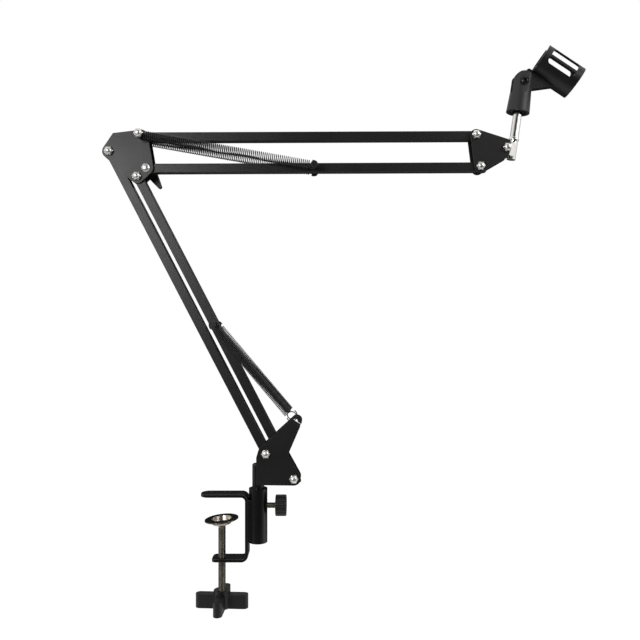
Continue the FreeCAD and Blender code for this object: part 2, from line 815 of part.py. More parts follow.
# Elbow
def make_elbow_fasteners():
    """Long bolt with sleeves and nuts for the springs, and a lock bolt with a wing nut."""
    reach = "upper_loop_depth - wire_radius - loop_play"
    seat = "upper_loop_depth + wire_radius + loop_play"
    end = f"{seat} + nut_height"
    bolt = rod("SpringBolt", ELBOW_TOP, "bolt_radius", f"-({end})", end)
    finish(joined("Part::Compound", "SpringBolts", bolt), "elbow_spring_bolt", ELBOW)
    nut = cap_nut("SpringNutFront", ELBOW_TOP, "bolt_radius", seat)
    back = rod("SpringNutBack", ELBOW_TOP, "bolt_head_radius", f"-({end}) - nut_dome", f"-({seat})")
    bore = rod("SpringNutBackBore", ELBOW_TOP, "bolt_radius + press_clearance", f"-({end})",
               f"-({seat}) + overrun")
    nuts = joined("Part::Compound", "SpringNuts", nut, cut("SpringNutRear", back, bore))
    finish(nuts, "elbow_spring_nuts", ELBOW)
    sleeves = []
    for side, low, high in (("Front", OUTER_FACE, reach), ("Rear", f"-({reach})", f"-{OUTER_FACE}")):
        tube = rod(f"Sleeve{side}Tube", ELBOW_TOP, "sleeve_radius", low, high)
        core = rod(f"Sleeve{side}Core", ELBOW_TOP, "bolt_radius + pivot_clearance", f"{low} - overrun",
                   f"{high} + overrun")
        sleeves.append(cut(f"Sleeve{side}", tube, core))
    finish(joined("Part::Compound", "SpringSleeves", *sleeves), "elbow_spring_sleeves", ELBOW)
    back_face = f"-{OUTER_FACE} - rest_gap - wing_hub_height"
    head = rod("LockBoltHead", ELBOW_LOCK, "bolt_head_radius", OUTER_FACE, f"{OUTER_FACE} + bolt_head_height")
    shank = rod("LockBoltShank", ELBOW_LOCK, "bolt_radius", back_face, OUTER_FACE)
    finish(joined("Part::MultiFuse", "LockBolt", head, shank), "elbow_lock_bolt", ELBOW)


def make_wing_nut():
    """Moulded wing nut behind the elbow, one wing hanging down to the right."""
    body = new_body("WingNut")
    front = f"-{OUTER_FACE} - rest_gap"
    back = f"{front} - wing_hub_height"
    x, z = ELBOW_LOCK
    pad(body, Outline(body, "WingHub", offset=back).circle(x, z, "wing_hub_radius"), "wing_hub_height")
    across = "wing_reach * cos(wing_turn * 1 deg)"
    down = "wing_reach * sin(wing_turn * 1 deg)"
    wings = Outline(body, "Wings", offset=back)
    wings.hull(
        (f"{x} - {across}", f"{z} + {down}", "wing_tip"),
        (x, z, "wing_hub_radius"),
        (f"{x} + {across}", f"{z} - {down}", "wing_tip"),
        (x, z, "wing_hub_radius"),
    )
    pad(body, wings, "wing_height")
    hole = Outline(body, "WingHole", offset=front).circle(x, z, "bolt_radius + thread_clearance")
    pocket(body, hole)
    return finish(body, "elbow_wing_nut", ELBOW)


# Springs: points on the wire for each turn and each loop, and passes that settle the coil's axis
PER_TURN = 4
PASSES = 6


def unit(vector):
    """Vector of length 1."""
    return vector * (1 / vector.Length)


def two_arcs(start, leaving, end, arriving):
    """Two tangent arcs that leave and arrive along given directions."""
    chord = end - start
    both = leaving + arriving
    a = 2 * (1 - leaving.dot(arriving))
    b = chord.dot(both)
    square = chord.dot(chord)
    reach = square / (2 * b) if a < 1e-12 else (-b + math.sqrt(b * b + a * square)) / a
    first = start + leaving * reach
    last = end - arriving * reach
    joint = (first + last) * 0.5
    edges = []
    for begin, corner, stop in ((start, first, joint), (joint, last, end)):
        near = unit(begin - corner)
        far = unit(stop - corner)
        half = near + far
        if half.Length < 1e-7:
            edges.append(Part.LineSegment(begin, stop).toShape())
            continue
        cosine = math.sqrt((1 + near.dot(far)) / 2)
        tangent = corner.distanceToPoint(begin)
        centre = corner + unit(half) * (tangent / cosine)
        radius = math.sqrt(centre.distanceToPoint(corner) ** 2 - tangent ** 2)
        edges.append(Part.Arc(begin, centre - unit(half) * radius, stop).toShape())
    return edges


def spring_points(hook, hook_normal, pin, pin_normal):
    """Points and directions along a coil with a side loop round each end's centre."""
    radius = number("coil_radius")
    axis = unit(pin - hook)
    for _ in range(PASSES):
        first = unit(hook_normal - axis * hook_normal.dot(axis))
        last = unit(pin_normal - axis * pin_normal.dot(axis))
        start = hook + axis * radius - first * radius
        end = pin - axis * radius - last * radius
        axis = unit(end - start)
    side = axis.cross(first)
    last_side = axis.cross(last)
    length = start.distanceToPoint(end)
    extra = math.atan2(last.dot(side), last.dot(first))
    total = 2 * math.pi * number("coil_turns") + extra
    sweep = math.radians(number("loop_sweep"))
    steps = int(PER_TURN * number("coil_turns"))
    track = []
    for i in range(PER_TURN):
        angle = sweep * (i / PER_TURN - 1)
        spoke = axis * math.cos(angle) + side * math.sin(angle)
        track.append((hook + spoke * radius, side * math.cos(angle) - axis * math.sin(angle)))
    for i in range(steps + 1):
        angle = total * i / steps
        spoke = first * math.cos(angle) + side * math.sin(angle)
        turn = side * math.cos(angle) - first * math.sin(angle)
        climb = 0 if i in (0, steps) else length / (total * radius)
        track.append((start + spoke * radius + axis * (length * i / steps), unit(turn + axis * climb)))
    for i in range(1, PER_TURN + 1):
        angle = sweep * i / PER_TURN
        spoke = last_side * math.sin(angle) - axis * math.cos(angle)
        track.append((pin + spoke * radius, last_side * math.cos(angle) + axis * math.sin(angle)))
    return track


def least_gap(wire, label):
    """Print the least clear distance between turns, measured on points of the wire."""
    apart = 2 * number("coil_radius")
    spacing = number("wire_radius")
    points = wire.discretize(Distance=spacing)
    skip = int(1.5 * apart / spacing)
    least = min(
        points[i].distanceToPoint(points[j])
        for i in range(len(points))
        for j in range(i + skip, min(i + 6 * skip, len(points)))
    )
    print(f"{label}: least gap between turns {least - 2 * number('wire_radius'):.2f} mm")


def make_spring(name, label, hook, hook_normal, pin, pin_normal):
    """One unbroken wire: a loop at the hook, the coil, a loop round the pin."""
    track = spring_points(hook, hook_normal, pin, pin_normal)
    edges = []
    for (start, leaving), (end, arriving) in zip(track, track[1:]):
        edges += two_arcs(start, leaving, end, arriving)
    path = Part.Wire(edges)
    least_gap(path, label)
    section = Part.Wire(Part.Circle(track[0][0], track[0][1], number("wire_radius")).toShape())
    shell = Part.BRepOffsetAPI.MakePipeShell(path)
    shell.add(section)
    shell.build()
    shell.makeSolid()
    spring = doc.addObject("Part::Feature", name)
    spring.Shape = shell.shape()
    spring.Label = label
    nodes.append(spring)
    return spring


def spot(x, z, front):
    """Point from expressions in the part's frame."""
    return Vector(number(x), -front, number(z))


def make_springs():
    """Front and rear springs of both arms, between their hooks and pins."""
    inside = number("coil_radius - wire_radius - loop_play")
    for side, side_label, sign in (("Front", "front", 1), ("Rear", "rear", -1)):
        x, z, _, _ = LOWER_INNER
        pin = spot(f"{x} + lower_pin_distance * sin{LEAN}", f"{z} - lower_pin_distance * cos{LEAN}",
                   sign * number("lower_loop_depth"))
        hook = spot(f"{SOCKET_X} + slot_x", "slot_z", sign * number("hook_loop_depth"))
        pull = unit(Vector(pin.x - hook.x, 0, pin.z - hook.z))
        across = Vector(pull.z, 0, -pull.x)
        tilt = math.radians(number("hook_loop_tilt"))
        normal = FRONT * (-sign * math.cos(tilt)) - across * math.sin(tilt)
        seat = number("slot_eye - wire_radius - hook_play")
        ring = hook + pull * (seat + number("coil_radius"))
        eye = pin - pull * (inside - number("pin_radius"))
        make_spring(f"LowerSpring{side}", f"lower_spring_{side_label}", ring, normal, eye, FRONT * sign)
        x, z, _, _ = UPPER_TOP
        depth = sign * number("upper_loop_depth")
        hook = spot(x, z, depth)
        x, z, _, _ = UPPER_BOTTOM
        pin = spot(f"{x} + upper_pin_distance * cos{RISE}", f"{z} + upper_pin_distance * sin{RISE}", depth)
        pull = unit(pin - hook)
        ring = hook + pull * (inside - number("bolt_radius"))
        eye = pin - pull * (inside - number("pin_radius"))
        make_spring(f"UpperSpring{side}", f"upper_spring_{side_label}", ring, FRONT * sign, eye, FRONT * sign)


# Head and stud
def make_stud_screw():
    """Screw through both head plates and the stud's tang, with a cap nut in front."""
    bolt = round_headed("StudScrew", STUD_PIVOT, "stud_screw_radius", "bolt_head_radius", f"-{OUTER_FACE}",
                        f"{OUTER_FACE} + nut_height")
    finish(joined("Part::Compound", "StudScrews", bolt), "stud_screw", HEAD)
    finish(cap_nut("StudNut", STUD_PIVOT, "stud_screw_radius", OUTER_FACE), "stud_nut", HEAD)


def make_mic_stud():
    """Plated rod: an eye beside its lower end for the pivot, a collar, and a threaded boss in the clip."""
    body = new_body("MicStud")
    thread_end = "stud_thread_start + stud_thread_length"
    turned(
        body,
        ("0", "-stud_drop"),
        ("stud_radius", "-stud_drop"),
        ("stud_radius", "stud_shoulder - stud_flare_slope"),
        ("stud_flare", "stud_shoulder"),
        ("stud_flare", "stud_shoulder + stud_flare_height"),
        ("stud_radius", "stud_shoulder + stud_flare_height + stud_flare_slope"),
        ("stud_radius", "stud_thread_start"),
        ("stud_thread_radius", "stud_thread_start"),
        ("stud_thread_radius", thread_end),
        ("0", thread_end),
    )
    eye = Outline(body, "Eye").hull(
        ("-stud_offset", "0", "stud_eye"),
        ("0", "-stud_drop / 2", "stud_radius / 2"),
        ("0", "stud_drop / 2", "stud_radius / 2"),
    )
    pad(body, eye, "bar_size", midplane=True)
    hole = Outline(body, "StudHole").circle("-stud_offset", "0", "stud_screw_radius + pivot_clearance")
    pocket(body, hole, midplane=True)
    return finish(body, "mic_stud", STUD)


# Microphone clip
def make_clip_base():
    """Tapered barrel over the stud's thread, forked at the top for the cradle's tongue."""
    body = new_body("ClipBase")
    bore = "clip_shoulder_radius - clip_wall"
    turned(
        body,
        (bore, "clip_bottom"),
        ("clip_radius", "clip_bottom"),
        ("clip_shoulder_radius", "clip_shoulder"),
        ("0", "clip_shoulder"),
        ("0", "clip_shoulder - clip_wall"),
        (bore, "clip_shoulder - clip_wall"),
    )
    ears = Outline(body, "Ears").hull(
        ("0", "clip_pivot", "clip_ear"),
        ("-clip_ear + clip_ear_round", "clip_shoulder + clip_ear_round", "clip_ear_round"),
        ("clip_ear - clip_ear_round", "clip_shoulder + clip_ear_round", "clip_ear_round"),
    )
    pad(body, ears, "2 * clip_ear_half", midplane=True)
    trim = Outline(body, "EarTrim", "XY_Plane", "clip_shoulder")
    trim.circle("0", "0", "clip_ear + clip_ear_half").circle("0", "0", "clip_shoulder_radius")
    pocket(body, trim, flipped=True)
    gap = "clip_tongue_half + clip_side_play"
    slot = Outline(body, "TongueSlot", "YZ_Plane")
    slot.rectangle(f"-({gap})", "clip_shoulder", gap, "clip_pivot + 2 * clip_ear")
    pocket(body, slot, midplane=True)
    hole = Outline(body, "ClipHole").circle("0", "clip_pivot", "clip_screw_radius + pivot_clearance")
    pocket(body, hole, midplane=True)
    return finish(body, "clip_base", STUD)


def make_clip_insert():
    """Metal thread insert pressed in the barrel."""
    body = new_body("ClipInsert")
    outer = "clip_shoulder_radius - clip_wall - press_clearance"
    inner = "stud_thread_radius + thread_clearance"
    turned(
        body,
        (inner, "clip_bottom + insert_inset"),
        (outer, "clip_bottom + insert_inset"),
        (outer, "clip_shoulder - clip_wall"),
        (inner, "clip_shoulder - clip_wall"),
    )
    return finish(body, "clip_insert", STUD)


def make_clip_screw():
    """Cross screw with a round head in front and a nut behind."""
    pivot = ("0", "clip_pivot")
    side = "clip_ear_half"
    head = rod("ClipScrewHead", pivot, "clip_head_radius", side, f"{side} + clip_head_height")
    shank = rod("ClipScrewShank", pivot, "clip_screw_radius", f"-{side} - nut_height", side)
    finish(joined("Part::MultiFuse", "ClipScrew", head, shank), "clip_screw", STUD)
    hexagon = add_solid("Part::Prism", "ClipNutHexagon", pivot, f"-{side} - nut_height", f"-{side}",
                        Circumradius="nut_flats / sqrt(3)")
    hexagon.Polygon = 6
    bore = rod("ClipNutBore", pivot, "clip_screw_radius + press_clearance",
               f"-{side} - nut_height - overrun", "0")
    finish(cut("ClipNut", hexagon, bore), "clip_nut", STUD)


def make_clip_cradle():
    """Open tube that grips the microphone, with a window in each side and a tongue at one end."""
    body = new_body("ClipCradle")
    ring = Outline(body, "CradleRing", "YZ_Plane", "cradle_start")
    ring.circle("0", "cradle_axis", "cradle_radius")
    pad(body, ring, "cradle_length")
    underside = "cradle_axis - cradle_radius"
    neck = Outline(body, "Neck").hull(
        ("0", "0", "cradle_knuckle"),
        ("cradle_neck_end", f"{underside} + cradle_neck_tip", "cradle_neck_tip"),
        (
            "-cradle_neck_back",
            f"{underside} + cradle_wall - cradle_neck_round - cradle_neck_drop",
            "cradle_neck_round",
        ),
    )
    pad(body, neck, "2 * clip_tongue_half", midplane=True)
    bore = Outline(body, "CradleBore", "YZ_Plane", "cradle_start")
    bore.circle("0", "cradle_axis", "cradle_radius - cradle_wall")
    pocket(body, bore, flipped=True)
    mouth = Outline(body, "Mouth", "YZ_Plane", "cradle_start")
    mouth.rectangle("-cradle_mouth / 2", "cradle_axis", "cradle_mouth / 2", "cradle_axis + 2 * cradle_radius")
    pocket(body, mouth, flipped=True)
    left = "window_start + window_corner"
    right = "window_start + window_length - window_corner"
    low = "cradle_axis + window_low + window_corner"
    high = "cradle_axis + window_high - window_corner"
    window = Outline(body, "Window").hull(
        (left, low, "window_corner"),
        (right, low, "window_corner"),
        (right, high, "window_corner"),
        (left, high, "window_corner"),
    )
    pocket(body, window, midplane=True)
    hole = Outline(body, "CradleHole").circle("0", "0", "clip_screw_radius + pivot_clearance")
    pocket(body, hole, midplane=True)
    return finish(body, "clip_cradle", CRADLE)


make_clamp_frame()
make_socket_tube()
make_socket_welds()
make_clamp_screw()
make_pressure_pad()
make_clamp_handle()
make_thumb_screw()
make_thumb_knob()

make_base_post()
make_base_plates()
make_pivot_set("Base", "base", BASE, (OUTER_PIVOT, INNER_PIVOT))
make_washers("Base", "base", BASE, (OUTER_PIVOT, INNER_PIVOT))

make_bar("LowerOuterBar", "lower_outer_bar", LOWER_OUTER, "lower_arm_length")
make_bar("LowerInnerBar", "lower_inner_bar", LOWER_INNER, "lower_arm_length", "lower_pin_distance")
make_spring_pin("Lower", "lower", LOWER_INNER, "lower_pin_distance", "lower_pin_half")

make_plates(
    "Elbow", "elbow", ELBOW,
    (
        (*ELBOW_OUTER, "elbow_lug"),
        (*ELBOW_INNER, "elbow_lug"),
        (*ELBOW_LOCK, "elbow_lock_lug"),
        (*ELBOW_TOP, "elbow_top_lug"),
        ("elbow_corner_x", "elbow_corner_z", "elbow_corner"),
    ),
    [(pivot, "bolt_radius") for pivot in (ELBOW_OUTER, ELBOW_INNER, ELBOW_LOCK, ELBOW_TOP)],
)
make_pivot_set("Elbow", "elbow", ELBOW, (ELBOW_OUTER, ELBOW_INNER))
make_washers("Elbow", "elbow", ELBOW, (ELBOW_OUTER, ELBOW_INNER, ELBOW_TOP, ELBOW_LOCK))
make_elbow_fasteners()
make_wing_nut()

make_bar("UpperTopBar", "upper_top_bar", UPPER_TOP, "upper_arm_length")
make_bar("UpperBottomBar", "upper_bottom_bar", UPPER_BOTTOM, "upper_arm_length", "upper_pin_distance")
make_spring_pin("Upper", "upper", UPPER_BOTTOM, "upper_pin_distance", "upper_pin_half")

make_plates(
    "Head", "head", HEAD,
    (
        (*HEAD_TOP, "head_top_lug"),
        (*HEAD_BOTTOM, "head_bottom_lug"),
        ("nose_lower_x", "-nose_lower_z", "nose_lower"),
        (*STUD_PIVOT, "stud_lug"),
        ("nose_upper_x", "-nose_upper_z", "nose_upper"),
    ),
    [(HEAD_TOP, "bolt_radius"), (HEAD_BOTTOM, "bolt_radius"), (STUD_PIVOT, "stud_screw_radius")],
)
make_pivot_set("Head", "head", HEAD, (HEAD_TOP, HEAD_BOTTOM))
make_washers("Head", "head", HEAD, (HEAD_TOP, HEAD_BOTTOM))
make_stud_screw()
make_washers("Stud", "stud", HEAD, (STUD_PIVOT,), "stud_screw_radius")
make_mic_stud()

make_clip_base()
make_clip_insert()
make_clip_screw()
make_clip_cradle()
doc.recompute()
make_springs()
doc.recompute()

faults = [o.Name for o in doc.Objects if "Invalid" in o.State or "Error" in o.State]
faults += [n.Label for n in nodes if n.Shape.isNull() or not n.Shape.isValid()]
if faults:
    raise RuntimeError(f"could not build {', '.join(faults)}")

os.makedirs("parts", exist_ok=True)
for node in nodes:
    node.Shape.exportStep(os.path.join("parts", f"{node.Label}.step"))
print(f"wrote {len(nodes)} sub-parts")
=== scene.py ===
"""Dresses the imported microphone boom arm: finishes, springs, threads and fasteners in the CAD frame.

Places are read from the frame. Sizes are in millimetres in the classes below and become metres in the meshes.
"""

from __future__ import annotations

import json
import logging
import math
from dataclasses import dataclass, field
from enum import Enum

import bmesh
import bpy
from mathutils import Matrix, Vector

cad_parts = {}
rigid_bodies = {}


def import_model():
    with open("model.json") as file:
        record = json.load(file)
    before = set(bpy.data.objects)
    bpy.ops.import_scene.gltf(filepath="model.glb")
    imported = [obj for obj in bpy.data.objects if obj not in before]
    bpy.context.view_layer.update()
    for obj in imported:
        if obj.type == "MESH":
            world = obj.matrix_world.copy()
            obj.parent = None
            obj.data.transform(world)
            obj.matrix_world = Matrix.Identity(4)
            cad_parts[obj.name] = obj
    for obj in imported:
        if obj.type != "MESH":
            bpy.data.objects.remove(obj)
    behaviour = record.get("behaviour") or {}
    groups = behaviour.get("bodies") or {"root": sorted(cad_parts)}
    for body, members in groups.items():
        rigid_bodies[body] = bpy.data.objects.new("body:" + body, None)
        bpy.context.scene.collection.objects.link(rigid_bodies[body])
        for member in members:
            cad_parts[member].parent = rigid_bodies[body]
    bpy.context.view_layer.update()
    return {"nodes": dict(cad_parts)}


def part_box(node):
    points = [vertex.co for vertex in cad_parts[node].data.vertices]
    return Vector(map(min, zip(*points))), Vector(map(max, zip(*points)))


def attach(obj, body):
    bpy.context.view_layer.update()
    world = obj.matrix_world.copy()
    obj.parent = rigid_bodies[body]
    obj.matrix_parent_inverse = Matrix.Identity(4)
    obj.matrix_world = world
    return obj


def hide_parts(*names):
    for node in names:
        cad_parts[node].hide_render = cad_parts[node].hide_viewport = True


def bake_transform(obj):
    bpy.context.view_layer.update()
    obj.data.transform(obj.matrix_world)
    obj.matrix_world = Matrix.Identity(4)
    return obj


LOG = logging.getLogger("boom_arm")
MM = 0.001
WHITE = (1.0, 1.0, 1.0, 1.0)
# Points of a CAD mesh that are closer than this, in metres, are one point
WELD = 2e-6
# Edges that turn by more than this stay sharp
SHARP_DEGREES = 38.0
# Radius of a thread's ridge as a share of its pitch: over half, so that neighbouring turns meet at the root
RIDGE_SHARE = 0.52
# Face layer that marks rounded edges, where a finish shows its wear and a painted highlight
EDGE_LAYER = "edge"

Spot = tuple[float, float]


class Slot(Enum):
    """Material slots of the record."""

    POWDER = "powder_coat"
    PLASTIC = "black_plastic"
    CHROME = "chrome_plate"
    NICKEL = "nickel_steel"
    WIRE = "spring_wire"
    INSERT = "insert_steel"
    NYLON = "nylon"


class Facing(Enum):
    """The arm's two sides, as the sign of Y; a fastener's outer end points to one of them."""

    FRONT = -1.0
    REAR = 1.0


def linear(code: str) -> tuple[float, float, float, float]:
    """Turn an sRGB hex colour to linear.

    Args:
        code: Colour such as "#1c1c1c".

    Returns:
        Linear red, green, blue and alpha.
    """
    parts = [int(code[i : i + 2], 16) / 255 for i in (1, 3, 5)]
    red, green, blue = (c / 12.92 if c <= 0.04045 else ((c + 0.055) / 1.055) ** 2.4 for c in parts)
    return red, green, blue, 1.0


def add_node(
    tree: bpy.types.NodeTree,
    kind: str,
    settings: dict | None = None,
    links: dict | None = None,
) -> bpy.types.Node:
    """Add a node with its settings and links.

    Args:
        tree: Node tree that gets the node.
        kind: Blender's name of the node type.
        settings: Attributes by name, or input values by socket name or number.
        links: Output sockets by the input that they feed.

    Returns:
        The new node.
    """
    node = tree.nodes.new(kind)
    for key, value in (settings or {}).items():
        if isinstance(key, int) or key in node.inputs:
            node.inputs[key].default_value = value
        else:
            setattr(node, key, value)
    for key, output in (links or {}).items():
        tree.links.new(output, node.inputs[key])
    return node


@dataclass(frozen=True)
class Finish:
    """A surface: two close colours in soft patches, a fine grain, and paler rounded edges, partly wear and
    partly a painted highlight.
    """

    name: str
    slot: Slot
    colour: str
    patch: str
    # Paler colour of worn edges and of painted highlights
    edge: str
    metallic: float
    roughness: tuple[float, float]
    patch_mm: float
    grain_mm: float
    grain_depth_mm: float
    ior: float = 1.5
    highlight_mm: float = 0.0
    highlight_fade_mm: float = 0.4
    bump: float = 0.6

    def material(self) -> bpy.types.Material:
        """Build the node material, or return it if it exists."""
        found = bpy.data.materials.get(self.name)
        if found:
            return found
        material = bpy.data.materials.new(self.name)
        material.use_nodes = True
        tree = material.node_tree
        shader = tree.nodes["Principled BSDF"]
        shader.inputs["Metallic"].default_value = self.metallic
        shader.inputs["IOR"].default_value = self.ior
        place = add_node(tree, "ShaderNodeTexCoord").outputs["Object"]
        clouds = self.noise(tree, place, self.patch_mm, detail=3.0)
        grain = self.noise(tree, place, self.grain_mm, detail=2.0)
        tone = add_node(
            tree,
            "ShaderNodeMix",
            {"data_type": "RGBA", 6: linear(self.colour), 7: linear(self.patch)},
            {0: clouds},
        )
        # Rounded edges turn paler in patches: partly wear, partly a painted highlight along them
        edge_faces = add_node(tree, "ShaderNodeAttribute", {"attribute_name": EDGE_LAYER})
        factors = {0: edge_faces.outputs["Fac"], 1: clouds}
        edge_wear_and_highlight = add_node(tree, "ShaderNodeMath", {"operation": "MULTIPLY"}, factors)
        whole = self.towards_edge(tree, edge_wear_and_highlight.outputs[0], tone)
        # Inside a radius the colour turns paler still: a painted highlight
        if self.highlight_mm:
            whole = self.towards_edge(tree, self.painted_highlight(tree, place), whole)
        gloss = add_node(
            tree,
            "ShaderNodeMapRange",
            {"To Min": self.roughness[0], "To Max": self.roughness[1]},
            {"Value": clouds},
        )
        bump = add_node(
            tree,
            "ShaderNodeBump",
            {"Strength": self.bump, "Distance": self.grain_depth_mm * MM},
            {"Height": grain},
        )
        tree.links.new(whole.outputs[2], shader.inputs["Base Color"])
        tree.links.new(gloss.outputs["Result"], shader.inputs["Roughness"])
        tree.links.new(bump.outputs["Normal"], shader.inputs["Normal"])
        return material

    def noise(
        self, tree: bpy.types.NodeTree, place: bpy.types.NodeSocket, size_mm: float, detail: float
    ) -> bpy.types.NodeSocket:
        """Add soft noise whose patches have a size in millimetres."""
        settings = {"Scale": 1 / (size_mm * MM), "Detail": detail}
        return add_node(tree, "ShaderNodeTexNoise", settings, {"Vector": place}).outputs["Fac"]

    def towards_edge(
        self, tree: bpy.types.NodeTree, share: bpy.types.NodeSocket, whole: bpy.types.Node
    ) -> bpy.types.Node:
        """Mix the colour so far towards the paler colour of wear and painted highlight."""
        settings = {"data_type": "RGBA", 7: linear(self.edge)}
        return add_node(tree, "ShaderNodeMix", settings, {0: share, 6: whole.outputs[2]})

    def painted_highlight(self, tree: bpy.types.NodeTree, place: bpy.types.NodeSocket) -> bpy.types.NodeSocket:
        """Find where the piece is painted bright as a highlight: inside a radius round the upright axis.

        Args:
            tree: Tree that gets the nodes.
            place: Object coordinates.

        Returns:
            Share of the painted highlight, 1 inside the radius.
        """
        level = {"operation": "MULTIPLY", 1: (1.0, 1.0, 0.0)}
        flat = add_node(tree, "ShaderNodeVectorMath", level, {0: place})
        far = add_node(tree, "ShaderNodeVectorMath", {"operation": "LENGTH"}, {0: flat.outputs[0]})
        limits = {
            "From Min": (self.highlight_mm + self.highlight_fade_mm) * MM,
            "From Max": (self.highlight_mm - self.highlight_fade_mm) * MM,
        }
        return add_node(tree, "ShaderNodeMapRange", limits, {"Value": far.outputs["Value"]}).outputs["Result"]


# Polyester powder on steel: satin black with a fine orange peel, drawn at 0.5 mm so that it shows
POWDER = Finish(
    "satin_black_powder_coat", Slot.POWDER, "#121212", "#191818", "#3a3837",
    metallic=0.0, roughness=(0.3, 0.4), patch_mm=30, grain_mm=0.5, grain_depth_mm=0.02, ior=1.44,
)
# The clamp's coat is thicker, with more gloss; its blacker colour is painted shade
CLAMP_COAT = Finish(
    "gloss_black_powder_coat", Slot.POWDER, "#060606", "#0a0a0a", "#2e2d2c",
    metallic=0.0, roughness=(0.2, 0.3), patch_mm=24, grain_mm=0.6, grain_depth_mm=0.02, ior=1.42,
)
# Moulded nylon with a spark-eroded tool texture, drawn at 0.4 mm
PLASTIC = Finish(
    "moulded_black_nylon", Slot.PLASTIC, "#0b0b0b", "#121212", "#2a2a2a",
    metallic=0.0, roughness=(0.38, 0.5), patch_mm=20, grain_mm=0.4, grain_depth_mm=0.03, ior=1.42,
)
# The clip's cradle is a softer plastic with a finer skin; its blacker colour is painted shade
CLIP_PLASTIC = Finish(
    "moulded_black_polypropylene", Slot.PLASTIC, "#080808", "#0d0d0d", "#2b2b2b",
    metallic=0.0, roughness=(0.34, 0.46), patch_mm=26, grain_mm=0.35, grain_depth_mm=0.02, ior=1.42,
)
# Its base is a more matt grade; its greyer colour is a painted highlight
CLIP_BASE_PLASTIC = Finish(
    "glass_filled_polypropylene", Slot.PLASTIC, "#1d1d1d", "#242424", "#3c3c3c",
    metallic=0.0, roughness=(0.42, 0.54), patch_mm=26, grain_mm=0.35, grain_depth_mm=0.02, ior=1.46,
)
# Bright chrome over polished steel with faint handling haze
CHROME = Finish(
    "bright_chrome_plate", Slot.CHROME, "#e6e5e2", "#d6d4cf", "#f2f1ee",
    metallic=1.0, roughness=(0.06, 0.16), patch_mm=6, grain_mm=0.8, grain_depth_mm=0.004,
)
# Nickel on cut threads: warmer, duller, stained in patches
NICKEL = Finish(
    "nickel_plated_steel", Slot.NICKEL, "#7e7870", "#4a463f", "#a8a39a",
    metallic=1.0, roughness=(0.22, 0.38), patch_mm=5, grain_mm=0.6, grain_depth_mm=0.01,
)
# Nuts and bolt heads are barrel plated: a pale metal with a satin skin
SATIN = Finish(
    "satin_nickel_plate", Slot.CHROME, "#e6e5e2", "#d2d0cb", "#f2f1ee",
    metallic=1.0, roughness=(0.28, 0.4), patch_mm=5, grain_mm=0.6, grain_depth_mm=0.006,
)
# The pressed pad's thin plate is dark and brownish; inside a radius its cup is painted bright, a painted
# highlight
PAD_PLATE = Finish(
    "tarnished_nickel_plate", Slot.NICKEL, "#2c2822", "#1d1a16", "#b9b2a8",
    metallic=1.0, roughness=(0.2, 0.3), patch_mm=7, grain_mm=0.6, grain_depth_mm=0.006, highlight_mm=10.4,
)
# Black oxide on hard drawn wire: nearly black with an oily sheen
WIRE = Finish(
    "black_oxide_spring_wire", Slot.WIRE, "#0b0b0b", "#131212", "#262524",
    metallic=0.0, roughness=(0.34, 0.46), patch_mm=8, grain_mm=0.4, grain_depth_mm=0.006, ior=1.46,
)
# Blackened steel thread insert
INSERT = Finish(
    "black_oxide_steel", Slot.INSERT, "#121211", "#1c1b1a", "#33312f",
    metallic=0.3, roughness=(0.34, 0.46), patch_mm=6, grain_mm=0.5, grain_depth_mm=0.01,
)
# The clip's cross screw is blackened too, with the steel's sheen coming through
DARK_SCREW = Finish(
    "blackened_screw_steel", Slot.INSERT, "#3c3a38", "#2b2928", "#6a6764",
    metallic=1.0, roughness=(0.24, 0.34), patch_mm=5, grain_mm=0.6, grain_depth_mm=0.006,
)
# Punched black nylon washers
NYLON = Finish(
    "punched_black_nylon", Slot.NYLON, "#151515", "#1d1d1d", "#303030",
    metallic=0.0, roughness=(0.5, 0.62), patch_mm=8, grain_mm=0.4, grain_depth_mm=0.02,
)


@dataclass(frozen=True)
class Ring:
    """One ring of a turned shape; with sides, the ring is a polygon whose flats are at the radius."""

    radius: float
    height: float
    sides: int = 0

    def reach(self, angle: float) -> float:
        """Distance from the axis at an angle."""
        if not self.sides:
            return self.radius
        step = 2 * math.pi / self.sides
        return self.radius / math.cos((angle % step) - step / 2)


def corners(node: str) -> tuple[Vector, Vector]:
    """Lowest and highest corners of a CAD node at rest, in millimetres."""
    low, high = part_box(node)
    return Vector(low) / MM, Vector(high) / MM


def centres(node: bpy.types.Object) -> list[Spot]:
    """Find the middle of each solid of a node, seen along the arm's pivots.

    Args:
        node: CAD node's object.

    Returns:
        (x, z) of each solid in millimetres, from left to right.
    """
    shape = bmesh.new()
    shape.from_mesh(node.data)
    bmesh.ops.remove_doubles(shape, verts=shape.verts, dist=WELD)
    left = set(shape.verts)
    spots = []
    while left:
        edge_of_solid = [left.pop()]
        solid = []
        while edge_of_solid:
            vert = edge_of_solid.pop()
            solid.append(vert.co / MM)
            near = {edge.other_vert(vert) for edge in vert.link_edges} & left
            left -= near
            edge_of_solid.extend(near)
        xs = [point.x for point in solid]
        zs = [point.z for point in solid]
        spots.append(((min(xs) + max(xs)) / 2, (min(zs) + max(zs)) / 2))
    shape.free()
    return sorted(spots)


def link(name: str, data: bpy.types.ID) -> bpy.types.Object:
    """Put a mesh or curve into the scene as an object at the origin."""
    item = bpy.data.objects.new(name, data)
    bpy.context.scene.collection.objects.link(item)
    return item


def to_object(name: str, shape: bmesh.types.BMesh, sharp_degrees: float = SHARP_DEGREES) -> bpy.types.Object:
    """Link a mesh as a smooth object whose hard edges stay sharp.

    Args:
        name: Name of the piece.
        shape: Mesh in metres, freed here.
        sharp_degrees: Angle from which an edge is sharp.

    Returns:
        The object, at the origin.
    """
    mesh = bpy.data.meshes.new(name)
    shape.to_mesh(mesh)
    shape.free()
    mesh.polygons.foreach_set("use_smooth", [True] * len(mesh.polygons))
    mesh.set_sharp_from_angle(angle=math.radians(sharp_degrees))
    return link(name, mesh)


